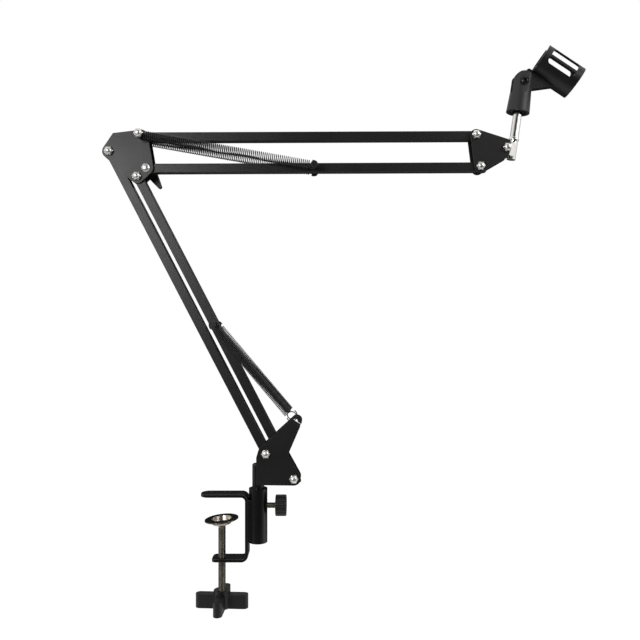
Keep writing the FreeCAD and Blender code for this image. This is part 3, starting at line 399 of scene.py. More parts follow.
def turned(rings: list[Ring], place: Matrix, segments: int = 48) -> bmesh.types.BMesh:
    """Turn rings into a closed skin.

    Args:
        rings: Rings from one end to the other, in millimetres; the ends are closed.
        place: Where the shape's axis, its local Z, goes, in millimetres.
        segments: Points round each ring, a multiple of 12.

    Returns:
        Mesh in metres.
    """
    shape = bmesh.new()
    loops = []
    for ring in rings:
        loop = []
        for i in range(segments):
            angle = 2 * math.pi * i / segments
            reach = ring.reach(angle)
            point = Vector((reach * math.cos(angle), reach * math.sin(angle), ring.height))
            loop.append(shape.verts.new((place @ point) * MM))
        loops.append(loop)
    for low, high in zip(loops, loops[1:]):
        for i in range(segments):
            j = (i + 1) % segments
            shape.faces.new((low[i], low[j], high[j], high[i]))
    shape.faces.new(list(reversed(loops[0])))
    shape.faces.new(loops[-1])
    bmesh.ops.recalc_face_normals(shape, faces=shape.faces)
    return shape


def outwards(depth: float, facing: Facing) -> Matrix:
    """Place for a fastener across the arm, its local Z pointing out.

    Args:
        depth: Distance of the seat from the arm's middle plane.
        facing: Side that the outer end points to.

    Returns:
        Matrix in millimetres.
    """
    side = facing.value
    return Matrix(((-side, 0, 0, 0), (0, 0, side, side * depth), (0, 1, 0, 0), (0, 0, 0, 1)))


def converted(item: bpy.types.Object, name: str) -> bpy.types.Object:
    """Replace an object by the plain mesh that its modifiers give.

    Args:
        item: Object with live modifiers, removed here.
        name: Name of the plain object.

    Returns:
        The plain mesh object.
    """
    bpy.context.view_layer.update()
    graph = bpy.context.evaluated_depsgraph_get()
    mesh = bpy.data.meshes.new_from_object(item.evaluated_get(graph), depsgraph=graph)
    mesh.name = name
    bpy.data.objects.remove(item)
    return link(name, mesh)


class NodeTree:
    """A Geometry Nodes tree with named inputs, run on one object."""

    def __init__(self, name: str, inputs: dict[str, str]) -> None:
        """Start the tree.

        Args:
            name: Name of the tree.
            inputs: Socket types by input name.
        """
        self.tree = bpy.data.node_groups.new(name, "GeometryNodeTree")
        self.tree.interface.new_socket("Geometry", in_out="INPUT", socket_type="NodeSocketGeometry")
        self.tree.interface.new_socket("Geometry", in_out="OUTPUT", socket_type="NodeSocketGeometry")
        self.ids: dict[str, str] = {}
        for title, kind in inputs.items():
            socket = self.tree.interface.new_socket(title, in_out="INPUT", socket_type=kind)
            self.ids[title] = socket.identifier
        self.given = self.tree.nodes.new("NodeGroupInput").outputs

    def add(self, kind: str, settings: dict | None = None, links: dict | None = None) -> bpy.types.Node:
        """Add a node to the tree."""
        return add_node(self.tree, kind, settings, links)

    def close(self, output: bpy.types.NodeSocket) -> NodeTree:
        """End the tree with realized, smooth, painted geometry."""
        real = self.add("GeometryNodeRealizeInstances", links={0: output})
        smooth = self.add("GeometryNodeSetShadeSmooth", links={0: real.outputs[0]})
        paint = self.add(
            "GeometryNodeSetMaterial", links={0: smooth.outputs[0], "Material": self.given["Material"]}
        )
        self.add("NodeGroupOutput", links={0: paint.outputs[0]})
        return self

    def run(self, item: bpy.types.Object, name: str, **values: object) -> bpy.types.Object:
        """Run the tree on an object and make the result a plain mesh.

        Args:
            item: Object that carries the tree, removed here.
            name: Name of the result.
            values: Input values, with spaces in the names as underscores.

        Returns:
            The plain mesh object.
        """
        modifier = item.modifiers.new("Nodes", "NODES")
        modifier.node_group = self.tree
        for title, value in values.items():
            modifier[self.ids[title.replace("_", " ")]] = value
        return converted(item, name)


def wire_tree() -> NodeTree:
    """Tree that sweeps a round wire along a path."""
    tree = NodeTree("swept_wire", {"Wire Radius": "NodeSocketFloat", "Material": "NodeSocketMaterial"})
    section = tree.add(
        "GeometryNodeCurvePrimitiveCircle", {"Resolution": 8}, {"Radius": tree.given["Wire Radius"]}
    )
    tube = tree.add(
        "GeometryNodeCurveToMesh",
        {"Fill Caps": True},
        {"Curve": tree.given[0], "Profile Curve": section.outputs["Curve"]},
    )
    return tree.close(tube.outputs[0])


def thread_tree() -> NodeTree:
    """Tree that winds a sharp thread ridge along +Z; a square section on its corner gives the V."""
    tree = NodeTree("thread_ridge", {
        "Turns": "NodeSocketFloat",
        "Pitch Radius": "NodeSocketFloat",
        "Length": "NodeSocketFloat",
        "Ridge": "NodeSocketFloat",
        "Material": "NodeSocketMaterial",
    })
    helix = tree.add("GeometryNodeCurveSpiral", {"Resolution": 24}, {
        "Rotations": tree.given["Turns"],
        "Start Radius": tree.given["Pitch Radius"],
        "End Radius": tree.given["Pitch Radius"],
        "Height": tree.given["Length"],
    })
    section = tree.add("GeometryNodeCurvePrimitiveCircle", {"Resolution": 4}, {"Radius": tree.given["Ridge"]})
    ridge = tree.add(
        "GeometryNodeCurveToMesh",
        {"Fill Caps": True},
        {"Curve": helix.outputs[0], "Profile Curve": section.outputs["Curve"]},
    )
    return tree.close(ridge.outputs[0])


def fastener_tree() -> NodeTree:
    """Tree that sets a copy of a fastener at each point of a carrier."""
    tree = NodeTree("set_of_fasteners", {"Fastener": "NodeSocketObject", "Material": "NodeSocketMaterial"})
    source = tree.add("GeometryNodeObjectInfo", links={"Object": tree.given["Fastener"]})
    points = tree.add("GeometryNodeMeshToPoints", links={0: tree.given[0]})
    copies = tree.add(
        "GeometryNodeInstanceOnPoints",
        links={"Points": points.outputs[0], "Instance": source.outputs["Geometry"]},
    )
    return tree.close(copies.outputs[0])


@dataclass
class Bench:
    """Holds the frame and puts finished pieces on it."""

    nodes: dict[str, bpy.types.Object]
    wire: NodeTree = field(default_factory=wire_tree)
    thread: NodeTree = field(default_factory=thread_tree)
    fasteners: NodeTree = field(default_factory=fastener_tree)

    def coat(self, item: bpy.types.Object, finish: Finish) -> None:
        """Give a new piece its finish."""
        item.data.materials.clear()
        item.data.materials.append(finish.material())
        LOG.info("%s coated, %d faces", item.name, len(item.data.polygons))

    def dress(self, item: bpy.types.Object, finish: Finish, body: str, *replaced: str) -> bpy.types.Object:
        """Give a piece its finish and its body.

        Args:
            item: Finished piece at the origin.
            finish: Its surface.
            body: CAD body that it rides on.
            replaced: CAD nodes that it stands for.

        Returns:
            The piece.
        """
        self.coat(item, finish)
        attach(item, body)
        if replaced:
            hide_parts(*replaced)
        return item

    def paint(self, finish: Finish, name: str) -> None:
        """Give a CAD node a finish and keep its shape."""
        node = self.nodes[name]
        node.data.materials.clear()
        node.data.materials.append(finish.material())
        LOG.info("%s painted", name)

    def soften(
        self, name: str, finish: Finish, body: str, width: float, angle: float = 32.0
    ) -> bpy.types.Object:
        """Stand in for a CAD node with the same shape and slightly rounded edges, marked for wear and a
        painted highlight.

        Args:
            name: CAD node.
            finish: Its surface.
            body: Its body.
            width: Width of the rounding in millimetres.
            angle: Least angle, in degrees, of an edge that is rounded.

        Returns:
            The piece.
        """
        flat_degrees = 0.5
        shape = bmesh.new()
        shape.from_mesh(self.nodes[name].data)
        layer = shape.faces.layers.float.new(EDGE_LAYER)
        bmesh.ops.remove_doubles(shape, verts=shape.verts, dist=WELD)
        bmesh.ops.dissolve_limit(
            shape, angle_limit=math.radians(flat_degrees), verts=shape.verts, edges=shape.edges
        )
        hard = [e for e in shape.edges if e.is_manifold and e.calc_face_angle(0.0) > math.radians(angle)]
        rounded = bmesh.ops.bevel(
            shape, geom=hard, offset=width * MM, offset_type="OFFSET", segments=2, profile=0.5,
            affect="EDGES", clamp_overlap=True,
        )
        for face in rounded["faces"]:
            face[layer] = 1.0
        # Where two edges are too close to round, the bevel leaves folds of no width
        bmesh.ops.remove_doubles(shape, verts=shape.verts, dist=WELD)
        bmesh.ops.dissolve_degenerate(shape, dist=WELD, edges=shape.edges)
        item = to_object(f"{name}_dressed", shape)
        weighted = item.modifiers.new("Weighted", "WEIGHTED_NORMAL")
        weighted.keep_sharp = True
        return self.dress(converted(item, f"{name}_dressed"), finish, body, name)

    def turn(
        self, name: str, finish: Finish, body: str, place: Matrix, rings: list[Ring], *replaced: str
    ) -> bpy.types.Object:
        """Make a turned piece and put it on a body."""
        return self.dress(to_object(name, turned(rings, place)), finish, body, *replaced)

    def set_out(
        self,
        name: str,
        finish: Finish,
        body: str,
        rings: list[Ring],
        place: Matrix,
        spots: list[Spot],
        *replaced: str,
    ) -> bpy.types.Object:
        """Set copies of one turned fastener at several pivots of a body.

        Args:
            name: Name of the set.
            finish: Its surface.
            body: Body that it rides on.
            rings: Shape of one fastener.
            place: Side that it points to and depth of its seat.
            spots: Pivots as (x, z).
            replaced: CAD nodes that the set stands for.

        Returns:
            The piece.
        """
        model = to_object(f"{name}_model", turned(rings, place))
        carrier = bmesh.new()
        for x, z in spots:
            carrier.verts.new((x * MM, 0, z * MM))
        points = to_object(f"{name}_points", carrier)
        result = self.fasteners.run(points, name, Fastener=model, Material=finish.material())
        bpy.data.objects.remove(model)
        result.data.set_sharp_from_angle(angle=math.radians(SHARP_DEGREES))
        return self.dress(result, finish, body, *replaced)

    def screw_thread(
        self, name: str, finish: Finish, body: str, place: Matrix, radius: float, pitch: float, length: float
    ) -> bpy.types.Object:
        """Wind a thread ridge on a screw's core.

        Args:
            name: Name of the piece.
            finish: Its surface.
            body: Its body.
            place: Start and direction of the thread, in millimetres.
            radius: Crest radius.
            pitch: Distance between turns.
            length: Threaded length.

        Returns:
            The piece.
        """
        ridge = pitch * RIDGE_SHARE
        result = self.thread.run(
            to_object(f"{name}_carrier", bmesh.new()),
            name,
            Turns=length / pitch,
            Pitch_Radius=radius - ridge,
            Length=length,
            Ridge=ridge,
            Material=finish.material(),
        )
        result.data.transform(Matrix.Diagonal((MM, MM, MM, 1)) @ place)
        return self.dress(result, finish, body)

    def sweep(self, name: str, radius: float, points: list[Vector]) -> bpy.types.Object:
        """Sweep a round wire along points in millimetres."""
        curve = bpy.data.curves.new(f"{name}_path", "CURVE")
        curve.dimensions = "3D"
        spline = curve.splines.new("POLY")
        spline.points.add(len(points) - 1)
        for knot, point in zip(spline.points, points):
            knot.co = (*(point * MM), 1.0)
        path = link(f"{name}_path", curve)
        return self.wire.run(path, name, Wire_Radius=radius * MM, Material=WIRE.material())


@dataclass(frozen=True)
class CapNut:
    """Plated cap nut: a chamfered hexagon under a dome."""

    flats: float = 8.0
    height: float = 3.2
    dome: float = 2.4
    foot: float = 3.72
    foot_chamfer: float = 0.3
    shoulder: float = 3.88
    shoulder_chamfer: float = 0.5
    neck: float = 3.68
    step: float = 0.05
    tip: float = 0.15
    dome_rings: int = 6

    def rings(self) -> list[Ring]:
        """Rings from the seat to the tip."""
        half = self.flats / 2
        foot_of_dome = self.height + self.step
        rings = [
            Ring(self.foot, 0.0),
            Ring(half, self.foot_chamfer, 6),
            Ring(half, self.height - self.shoulder_chamfer, 6),
            Ring(self.shoulder, self.height),
            Ring(self.neck, foot_of_dome),
        ]
        for i in range(1, self.dome_rings + 1):
            angle = math.pi / 2 * i / self.dome_rings
            radius = max(self.neck * math.cos(angle), self.tip)
            rings.append(Ring(radius, foot_of_dome + (self.dome - self.step) * math.sin(angle)))
        return rings


@dataclass(frozen=True)
class Bolt:
    """Round-headed bolt with a plain shank; the head is a dome, or has a hexagon socket."""

    shank: float
    length: float
    radius: float = 4.5
    height: float = 2.6
    socket: float = 1.5
    socket_depth: float = 1.5
    socket_cone: float = 0.4
    socket_lip: float = 0.25
    socket_tip: float = 0.2
    chamfer: float = 0.3
    neck: float = 0.02
    rim: float = 0.25
    rim_bevel: float = 0.2
    crown_from: float = 12.0
    crown_to_socket: float = 62.0
    crown_to_top: float = 88.0
    crown_rings: int = 8
    rounding: float = 0.1

    def rings(self) -> list[Ring]:
        """Rings from the shank's tip, over the head's crown, into its socket."""
        rings = [
            Ring(self.shank - self.chamfer, -self.length),
            Ring(self.shank, self.chamfer - self.length),
            Ring(self.shank, -self.neck),
            Ring(self.radius - self.rim_bevel, 0.0),
            Ring(self.radius, self.rim),
        ]
        crown_to = self.crown_to_socket if self.socket else self.crown_to_top
        top = math.sin(math.radians(crown_to))
        for i in range(self.crown_rings):
            share = i / (self.crown_rings - 1)
            angle = math.radians(self.crown_from + (crown_to - self.crown_from) * share)
            radius = self.radius * math.cos(angle) + self.rounding
            rings.append(Ring(radius, self.height * math.sin(angle) / top))
        if self.socket:
            rings += [
                Ring(self.socket + self.socket_lip, self.height),
                Ring(self.socket, self.height - self.socket_lip, 6),
                Ring(self.socket, self.height - self.socket_depth, 6),
                Ring(self.socket_tip, self.height - self.socket_depth - self.socket_cone),
            ]
        return rings


@dataclass(frozen=True)
class Winding:
    """Points along a spring's wire: its hook, then its coil with the pin's loop; and the coil's axis."""

    hook: list[Vector]
    coil: list[Vector]
    start: Vector
    end: Vector


@dataclass(frozen=True)
class Spring:
    """Coil of round wire with a side loop round a centre at each end.

    The hook loop may have its own radius, and a bend at its far point that steps through a plate.
    """

    pitch: float
    wire: float = 0.5
    coil: float = 4.1
    hook: float = 4.1
    hook_step: float = 0.0
    hook_bend: float = math.radians(22)
    sweep: float = math.radians(290)
    loop_points: int = 72
    turn_points: int = 14
    fits: int = 6

    def path(self, hook: Vector, hook_normal: Vector, pin: Vector, pin_normal: Vector) -> Winding:
        """Follow the wire from the hook loop to the pin loop.

        Args:
            hook: Centre of the hook loop.
            hook_normal: Normal of its plane.
            pin: Centre of the pin loop.
            pin_normal: Normal of its plane.

        Returns:
            The wire's points and the coil's axis.
        """
        axis = (pin - hook).normalized()
        for _ in range(self.fits):
            first = (hook_normal - axis * hook_normal.dot(axis)).normalized()
            last = (pin_normal - axis * pin_normal.dot(axis)).normalized()
            start = hook + axis * self.hook - first * self.coil
            end = pin - (axis + last) * self.coil
            axis = (end - start).normalized()
        side = axis.cross(first)
        last_side = axis.cross(last)
        length = (end - start).length
        turns = round(length / self.pitch)
        total = 2 * math.pi * turns + math.atan2(last.dot(side), last.dot(first))
        hook_points = []
        for i in range(self.loop_points + 1):
            angle = self.sweep * (1 - i / self.loop_points)
            spoke = axis * math.cos(angle) - side * math.sin(angle)
            hook_points.append(hook + spoke * self.hook + first * self.stepped(angle))
        steps = turns * self.turn_points
        points = []
        for i in range(steps + 1):
            angle = total * i / steps
            spoke = first * math.cos(angle) + side * math.sin(angle)
            points.append(start + spoke * self.coil + axis * (length * i / steps))
        for i in range(1, self.loop_points + 1):
            angle = self.sweep * i / self.loop_points
            points.append(pin + (last_side * math.sin(angle) - axis * math.cos(angle)) * self.coil)
        return Winding(hook_points, points, start, end)

    def stepped(self, angle: float) -> float:
        """How far the hook has stepped through its plate at an angle from the coil."""
        past = (angle - math.pi + self.hook_bend) / (2 * self.hook_bend)
        share = min(max(past, 0.0), 1.0)
        return self.hook_step * (1 - math.cos(math.pi * share)) / 2


@dataclass
class DeskClamp:
    """Strap frame, socket, screw, pad, handle and thumb screw."""

    screw_radius: float = 3.9
    screw_pitch: float = 1.25
    screw_groove: float = 0.5
    screw_plain: float = 3.0
    # The plain collar under the rivet: how far inside the crest it starts and ends, and the rise of its cone
    collar_start: float = 0.3
    collar_end: float = 0.1
    collar_rise: float = 0.4
    screw_hidden: float = 2.0
    # Radius of the rivet and rise over the screw's shoulder
    rivet: tuple[Spot, ...] = (
        (2.5, 0.05), (2.5, 2.2), (4.3, 2.25), (4.4, 2.7), (3.6, 3.5), (1.4, 3.75), (0.2, 3.78),
    )
    rivet_height: float = 3.8
    thumb_radius: float = 3.0
    thumb_pitch: float = 1.0
    thumb_groove: float = 0.6
    thumb_point: float = 1.2
    thumb_cone: float = 1.0
    thumb_step: float = 0.2
    thumb_plain: float = 5.4
    thumb_hidden: float = 0.7
    runout: float = 1.0

    def build(self, bench: Bench) -> None:
        """Dress every piece of the clamp."""
        bench.soften("clamp_frame", CLAMP_COAT, "clamp", width=0.5)
        bench.soften("socket_tube", CLAMP_COAT, "clamp", width=0.4)
        bench.soften("socket_welds", CLAMP_COAT, "clamp", width=0.5)
        bench.soften("pressure_pad", PAD_PLATE, "pad", width=0.25, angle=24.0)
        bench.soften("clamp_handle", PLASTIC, "screw", width=1.1)
        bench.soften("thumb_knob", PLASTIC, "thumb", width=0.3)
        self.screw(bench)
        self.thumb(bench)

    def screw(self, bench: Bench) -> None:
        """Turn the clamp screw, with its rivet, and wind its thread."""
        low, high = corners("clamp_screw")
        foot = low.z + self.screw_hidden
        top = high.z - self.rivet_height
        core = self.screw_radius - self.screw_groove
        rings = [
            Ring(core, foot),
            Ring(core, top - self.screw_plain),
            Ring(self.screw_radius - self.collar_start, top - self.screw_plain + self.collar_rise),
            Ring(self.screw_radius - self.collar_end, top),
        ]
        rings += [Ring(radius, top + rise) for radius, rise in self.rivet]
        bench.turn("clamp_screw_core", NICKEL, "screw", Matrix.Identity(4), rings, "clamp_screw")
        bench.screw_thread(
            "clamp_screw_thread", NICKEL, "screw", Matrix.Translation((0, 0, foot + self.runout)),
            self.screw_radius, self.screw_pitch, top - self.screw_plain - foot - self.runout,
        )

    def thumb(self, bench: Bench) -> None:
        """Turn the thumb screw and wind its thread."""
        low, high = corners("thumb_screw")
        tip = low.x
        end = high.x - self.thumb_hidden
        plain = end - self.thumb_plain
        along = Matrix(((0, 0, 1, 0), (0, 1, 0, 0), (-1, 0, 0, (low.z + high.z) / 2), (0, 0, 0, 1)))
        core = self.thumb_radius - self.thumb_groove
        bench.turn("thumb_screw_core", NICKEL, "thumb", along, [
            Ring(self.thumb_point, tip),
            Ring(core, tip + self.thumb_cone),
            Ring(core, plain - self.thumb_step),
            Ring(self.thumb_radius, plain),
            Ring(self.thumb_radius, end),
        ], "thumb_screw")
        start = tip + self.runout
        bench.screw_thread(
            "thumb_screw_thread", NICKEL, "thumb", along @ Matrix.Translation((0, 0, start)),
            self.thumb_radius, self.thumb_pitch, plain - self.runout - start,
        )


@dataclass
class PlateJoint:
    """A pair of plates with its pivot bolts, cap nuts and washers."""

    label: str
    shank: float = 2.5
    nut: CapNut = CapNut()
    # The drawn shanks stop this much short of the CAD ones
    short: float = 0.1

    def build(self, bench: Bench) -> None:
        """Dress the plates and set out the fasteners."""
        for side in ("front", "rear"):
            bench.soften(f"{self.label}_plate_{side}", POWDER, self.label, width=0.25)
        self.bolt_and_nut(bench, self.shank, f"{self.label}_bolts", f"{self.label}_nuts")
        bench.paint(NYLON, f"{self.label}_washers")

    def face(self) -> float:
        """Distance of the plates' outer faces from the middle plane."""
        return corners(f"{self.label}_plate_rear")[1].y

    def bolt_and_nut(self, bench: Bench, shank: float, bolts: str, nuts: str) -> None:
        """Set out bolts from the rear with cap nuts in front.

        Args:
            bench: Where the pieces go.
            shank: Radius of the bolts' shanks.
            bolts: CAD node of the bolts.
            nuts: CAD node of the nuts.
        """
        spots = centres(bench.nodes[bolts])
        face = self.face()
        length = face - corners(bolts)[0].y - self.short
        bench.set_out(
            f"{nuts}_domed", SATIN, self.label, self.nut.rings(), outwards(face, Facing.FRONT),
            spots, nuts,
        )
        bench.set_out(
            f"{bolts}_headed", SATIN, self.label, Bolt(shank, length).rings(), outwards(face, Facing.REAR),
            spots, bolts,
        )


@dataclass
class Base(PlateJoint):
    """Base plates on the swivel post."""

    def build(self, bench: Bench) -> None:
        """Dress the plates and the post."""
        super().build(bench)
        bench.soften("base_post", CLAMP_COAT, "base", width=0.3)


@dataclass
class Elbow(PlateJoint):
    """Elbow plates with the spring bolt and the lock bolt."""

    def build(self, bench: Bench) -> None:
        """Dress the plates, the long bolt and the wing nut."""
        super().build(bench)
        self.spring_bolt(bench)
        face = self.face()
        length = face + corners("elbow_lock_bolt")[1].y - self.short
        bench.set_out(
            "elbow_domed_lock_bolt", SATIN, "elbow", Bolt(self.shank, length, socket=0).rings(),
            outwards(face, Facing.FRONT), centres(bench.nodes["elbow_lock_bolt"]), "elbow_lock_bolt",
        )
        bench.soften("elbow_wing_nut", PLASTIC, "wing", width=0.9)

    def spring_bolt(self, bench: Bench) -> None:
        """Paint the long bolt, set a cap nut on each end and dress the sleeves."""
        spots = centres(bench.nodes["elbow_spring_bolt"])
        seat = corners("elbow_spring_nuts")[1].y - self.nut.height - self.nut.dome
        for facing in Facing:
            bench.set_out(
                f"elbow_spring_{facing.name.lower()}_nut", SATIN, "elbow", self.nut.rings(),
                outwards(seat, facing), spots, "elbow_spring_nuts",
            )
        bench.paint(CHROME, "elbow_spring_bolt")
        bench.soften("elbow_spring_sleeves", POWDER, "elbow", width=0.3)


@dataclass
class Head(PlateJoint):
    """Head plates with the stud's pivot screw."""

    stud_shank: float = 3.0

    def build(self, bench: Bench) -> None:
        """Dress the plates, the pivot screw and the stud."""
        super().build(bench)
        self.bolt_and_nut(bench, self.stud_shank, "stud_screw", "stud_nut")
        bench.paint(NYLON, "stud_washers")
        bench.soften("mic_stud", CHROME, "stud", width=0.6)


@dataclass
class SprungArm:
    """Two parallel bars with a cross pin and two springs that pull on it."""

    label: str
    bars: tuple[str, str]
    holder: str
    loop_depth: float
    spring: Spring
    pin_radius: float = 2.25
    loop_play: float = 0.08
    # Share of a spring's length given to its coil
    coil_reach: float = 1.0

    def build(self, bench: Bench) -> None:
        """Dress the bars, the pin and its caps, and wind the springs."""
        for bar in self.bars:
            bench.soften(f"{bar}_bar", POWDER, bar, width=0.12, angle=40.0)
        bench.paint(POWDER, f"{self.label}_spring_pin")
        bench.soften(f"{self.label}_spring_caps", PLASTIC, f"{self.label}_caps", width=0.5)
        pin_x, pin_z = centres(bench.nodes[f"{self.label}_spring_pin"])[0]
        for facing in Facing:
            pin = Vector((pin_x, facing.value * self.loop_depth, pin_z))
            name = f"{self.label}_spring_{facing.name.lower()}"
            self.wind(bench, name, self.winding(bench, pin, facing))

    def winding(self, bench: Bench, pin: Vector, facing: Facing) -> Winding:
        """Lay out one spring; each arm hooks its springs in its own way."""
        raise NotImplementedError

    def wind(self, bench: Bench, name: str, winding: Winding) -> None:
        """Sweep a spring: its hook hangs on the holder and its coil stays where it was laid out.

        Args:
            bench: Where the pieces go.
            name: CAD node that the spring stands for.
            winding: The wire's points.
        """
        self.hang(bench, bench.sweep(f"{name}_hook", self.spring.wire, winding.hook), winding)
        coil = bench.sweep(f"{name}_coil", self.spring.wire, winding.coil)
        bench.coat(coil, WIRE)
        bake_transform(coil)
        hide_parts(name)

    def hang(self, bench: Bench, hook: bpy.types.Object, winding: Winding) -> None:
        """Hang a spring's hook on its holder."""
        bench.dress(hook, WIRE, self.holder)

    def loop_inside(self, seat_radius: float) -> float:
        """Distance from a round seat's axis to the centre of a loop pulled against it."""
        return self.spring.coil - self.spring.wire - self.loop_play - seat_radius


@dataclass
class LowerArm(SprungArm):
    """Lower arm, whose springs hook into the eyes of the base plates."""

    # Middle of the eyes in the base plates
    eye: Spot = (75.1, 77.4)
    eye_seat: float = 0.9
    plate_play: float = 0.05
    coil_reach: float = 0.7
    # Start past its tip, and length, of a hook's lean after the arm
    lean_before: float = 1.5
    lean_length: float = 34.0

    def winding(self, bench: Bench, pin: Vector, facing: Facing) -> Winding:
        """Lay out one spring, its hook flat on the plate and bent through the eye."""
        side = facing.value
        depth = corners("base_plate_rear")[1].y + self.spring.wire + self.plate_play
        eye = Vector((self.eye[0], side * depth, self.eye[1]))
        pull = Vector((pin.x - eye.x, 0, pin.z - eye.z)).normalized()
        ring = eye + pull * (self.eye_seat + self.spring.hook)
        loop = pin - pull * self.loop_inside(self.pin_radius)
        return self.spring.path(ring, Vector((0, -side, 0)), loop, Vector((0, side, 0)))

    def hang(self, bench: Bench, hook: bpy.types.Object, winding: Winding) -> None:
        """Leave a hook where it was laid out, its tip in the eye, on no body."""
        bench.coat(hook, WIRE)
        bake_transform(hook)


@dataclass
class UpperArm(SprungArm):
    """Upper arm, whose springs hang on the elbow's long bolt; their hooks turn about it as the top bar does.
    """

    bolt_radius: float = 2.5

    def winding(self, bench: Bench, pin: Vector, facing: Facing) -> Winding:
        """Lay out one spring between the bolt and the pin."""
        bolt_x, bolt_z = centres(bench.nodes["elbow_spring_bolt"])[0]
        bolt = Vector((bolt_x, pin.y, bolt_z))
        pull = (pin - bolt).normalized()
        normal = Vector((0, facing.value, 0))
        ring = bolt + pull * self.loop_inside(self.bolt_radius)
        loop = pin - pull * self.loop_inside(self.pin_radius)
        return self.spring.path(ring, normal, loop, normal)


@dataclass
class MicClip:
    """Barrel, insert, cross screw and open cradle."""

    screw_shank: float = 2.5
    head_radius: float = 4.4
    head_height: float = 2.4
    short: float = 0.1

    def build(self, bench: Bench) -> None:
        """Dress the clip."""
        bench.soften("clip_base", CLIP_BASE_PLASTIC, "clip", width=0.5)
        bench.soften("clip_cradle", CLIP_PLASTIC, "cradle", width=0.45)
        bench.paint(INSERT, "clip_insert")
        low, high = corners("clip_screw")
        seat = -low.y - self.head_height
        screw = Bolt(self.screw_shank, seat + high.y - self.short, self.head_radius, self.head_height)
        bench.set_out(
            "clip_cross_screw", DARK_SCREW, "clip", screw.rings(), outwards(seat, Facing.FRONT),
            centres(bench.nodes["clip_screw"]), "clip_screw",
        )
        bench.soften("clip_nut", DARK_SCREW, "clip", width=0.2)


@dataclass(frozen=True)
class Lamp:
    """Square soft lamp: its place and side in metres, its power in watts."""

    name: str
    place: tuple[float, float, float]
    side: float
    power: float


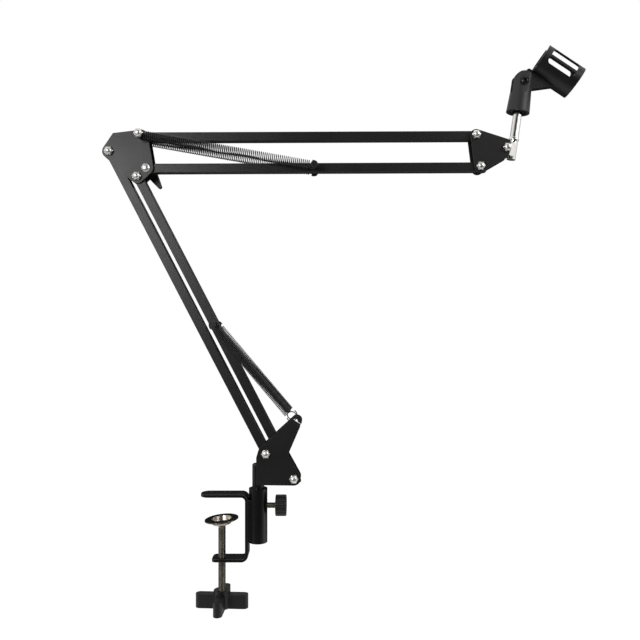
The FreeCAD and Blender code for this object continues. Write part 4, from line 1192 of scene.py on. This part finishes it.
@dataclass
class Studio:
    """Camera at the photograph's place, soft lamps, pale floor and world."""

    camera_mm: tuple[float, float, float] = (100.0, -694.0, 179.3)
    focal_px: float = 680.0
    picture_px: float = 640.0
    sensor_mm: float = 36.0
    floor_mm: float = -300.0
    floor_half_width: float = 4.0
    floor_roughness: float = 0.9
    floor_glow: float = 1.1
    floor_glow_share: float = 0.88
    # Distances along Y from which reflections find the room dark, and up to which they find it white
    world_room: Spot = (0.88, 0.3)
    floor_room: Spot = (0.6, 0.15)
    dark_strength: float = 0.02
    soft_strength: float = 0.4
    aim: tuple[float, float, float] = (0.1, 0.0, 0.2)
    lamps: tuple[Lamp, ...] = (
        Lamp("key", (-0.62, -1.2, 0.45), 0.55, 8.0),
        Lamp("fill", (1.25, -0.8, 0.85), 0.55, 7.0),
        Lamp("rim", (0.1, 1.2, 1.4), 1.2, 6.0),
        Lamp("card", (0.62, -1.1, 0.7), 0.3, 0.3),
    )

    def build(self) -> None:
        """Set up the view, the light and the floor."""
        scene = bpy.context.scene
        scene.view_settings.view_transform = "Standard"
        lens = bpy.data.cameras.new("camera")
        lens.sensor_width = self.sensor_mm
        lens.sensor_fit = "HORIZONTAL"
        lens.lens = self.sensor_mm * self.focal_px / self.picture_px
        camera = link("camera", lens)
        camera.location = Vector(self.camera_mm) * MM
        camera.rotation_euler = (math.radians(90), 0, 0)
        scene.camera = camera
        for lamp in self.lamps:
            self.light(lamp)
        self.world()
        self.floor()

    def light(self, lamp: Lamp) -> None:
        """Add a lamp that faces the arm's middle."""
        light = bpy.data.lights.new(lamp.name, "AREA")
        light.size = lamp.side
        light.energy = lamp.power
        item = link(lamp.name, light)
        item.location = lamp.place
        item.rotation_euler = (Vector(self.aim) - item.location).to_track_quat("-Z", "Y").to_euler()

    def larger(
        self, tree: bpy.types.NodeTree, first: bpy.types.NodeSocket, second: bpy.types.NodeSocket
    ) -> bpy.types.NodeSocket:
        """Give the larger of two values."""
        return add_node(tree, "ShaderNodeMath", {"operation": "MAXIMUM"}, {0: first, 1: second}).outputs[0]

    def seen(self, tree: bpy.types.NodeTree) -> bpy.types.NodeSocket:
        """Share of rays that show the background itself: camera, glossy and transmission rays."""
        path = add_node(tree, "ShaderNodeLightPath").outputs
        shiny = self.larger(tree, path["Is Glossy Ray"], path["Is Transmission Ray"])
        return self.larger(tree, path["Is Camera Ray"], shiny)

    def room(
        self, tree: bpy.types.NodeTree, place: bpy.types.NodeSocket, dark: float, white: float
    ) -> bpy.types.NodeSocket:
        """White to the camera; to reflections, white at the sides and dark before and behind the arm.

        Args:
            tree: Tree that gets the nodes.
            place: Position or direction whose Y is read.
            dark: Distance along Y from which the room is dark.
            white: Distance along Y up to which it is white.

        Returns:
            Strength of the white.
        """
        axes = add_node(tree, "ShaderNodeSeparateXYZ", links={0: place})
        depth = add_node(tree, "ShaderNodeMath", {"operation": "ABSOLUTE"}, {0: axes.outputs["Y"]})
        limits = {"From Min": dark, "From Max": white, "To Min": self.dark_strength, "To Max": 1.0}
        shade = add_node(tree, "ShaderNodeMapRange", limits, {"Value": depth.outputs[0]})
        path = add_node(tree, "ShaderNodeLightPath")
        return self.larger(tree, shade.outputs["Result"], path.outputs["Is Camera Ray"])

    def world(self) -> None:
        """White to the eye, a room of white walls to reflections, and a soft even light."""
        world = bpy.data.worlds.new("studio")
        bpy.context.scene.world = world
        world.use_nodes = True
        tree = world.node_tree
        tree.nodes.clear()
        way = add_node(tree, "ShaderNodeTexCoord").outputs["Generated"]
        strength = self.room(tree, way, *self.world_room)
        white = add_node(tree, "ShaderNodeBackground", {"Color": WHITE}, {"Strength": strength})
        soft = add_node(tree, "ShaderNodeBackground", {"Color": WHITE, "Strength": self.soft_strength})
        shaders = {0: self.seen(tree), 1: soft.outputs[0], 2: white.outputs[0]}
        mix = add_node(tree, "ShaderNodeMixShader", links=shaders)
        add_node(tree, "ShaderNodeOutputWorld", links={0: mix.outputs[0]})

    def floor(self) -> None:
        """Pale floor, well below the clamp, that keeps a shadow."""
        shape = bmesh.new()
        bmesh.ops.create_grid(shape, x_segments=1, y_segments=1, size=self.floor_half_width)
        bmesh.ops.translate(shape, verts=shape.verts, vec=(0, 0, self.floor_mm * MM))
        floor = to_object("floor", shape)
        material = bpy.data.materials.new("matte_white_paper")
        material.use_nodes = True
        tree = material.node_tree
        paper = tree.nodes["Principled BSDF"]
        paper.inputs["Base Color"].default_value = linear("#f4f4f4")
        paper.inputs["Roughness"].default_value = self.floor_roughness
        place = add_node(tree, "ShaderNodeNewGeometry").outputs["Position"]
        white = self.room(tree, place, *self.floor_room)
        brighter = {"operation": "MULTIPLY", 1: self.floor_glow}
        bright = add_node(tree, "ShaderNodeMath", brighter, {0: white})
        glow = add_node(tree, "ShaderNodeEmission", {"Color": WHITE}, {"Strength": bright.outputs[0]})
        partly = {"operation": "MULTIPLY", 1: self.floor_glow_share}
        share = add_node(tree, "ShaderNodeMath", partly, {0: self.seen(tree)})
        shaders = {0: share.outputs[0], 1: paper.outputs[0], 2: glow.outputs[0]}
        mix = add_node(tree, "ShaderNodeMixShader", links=shaders)
        tree.links.new(mix.outputs[0], tree.nodes["Material Output"].inputs["Surface"])
        floor.data.materials.append(material)


def main() -> None:
    """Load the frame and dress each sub-assembly."""
    logging.basicConfig(level=logging.INFO, format="%(name)s: %(message)s")
    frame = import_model()
    bench = Bench(frame["nodes"])
    Studio().build()
    lower_spring = Spring(pitch=1.5, wire=0.55, hook=5.0, hook_step=2.8)
    upper_spring = Spring(pitch=1.95)
    assemblies = (
        DeskClamp(),
        Base("base"),
        LowerArm("lower", ("lower_outer", "lower_inner"), "base", loop_depth=16.0, spring=lower_spring),
        Elbow("elbow"),
        UpperArm("upper", ("upper_top", "upper_bottom"), "upper_top", loop_depth=17.5, spring=upper_spring),
        Head("head"),
        MicClip(),
    )
    for assembly in assemblies:
        assembly.build(bench)


if __name__ == "__main__":
    main()
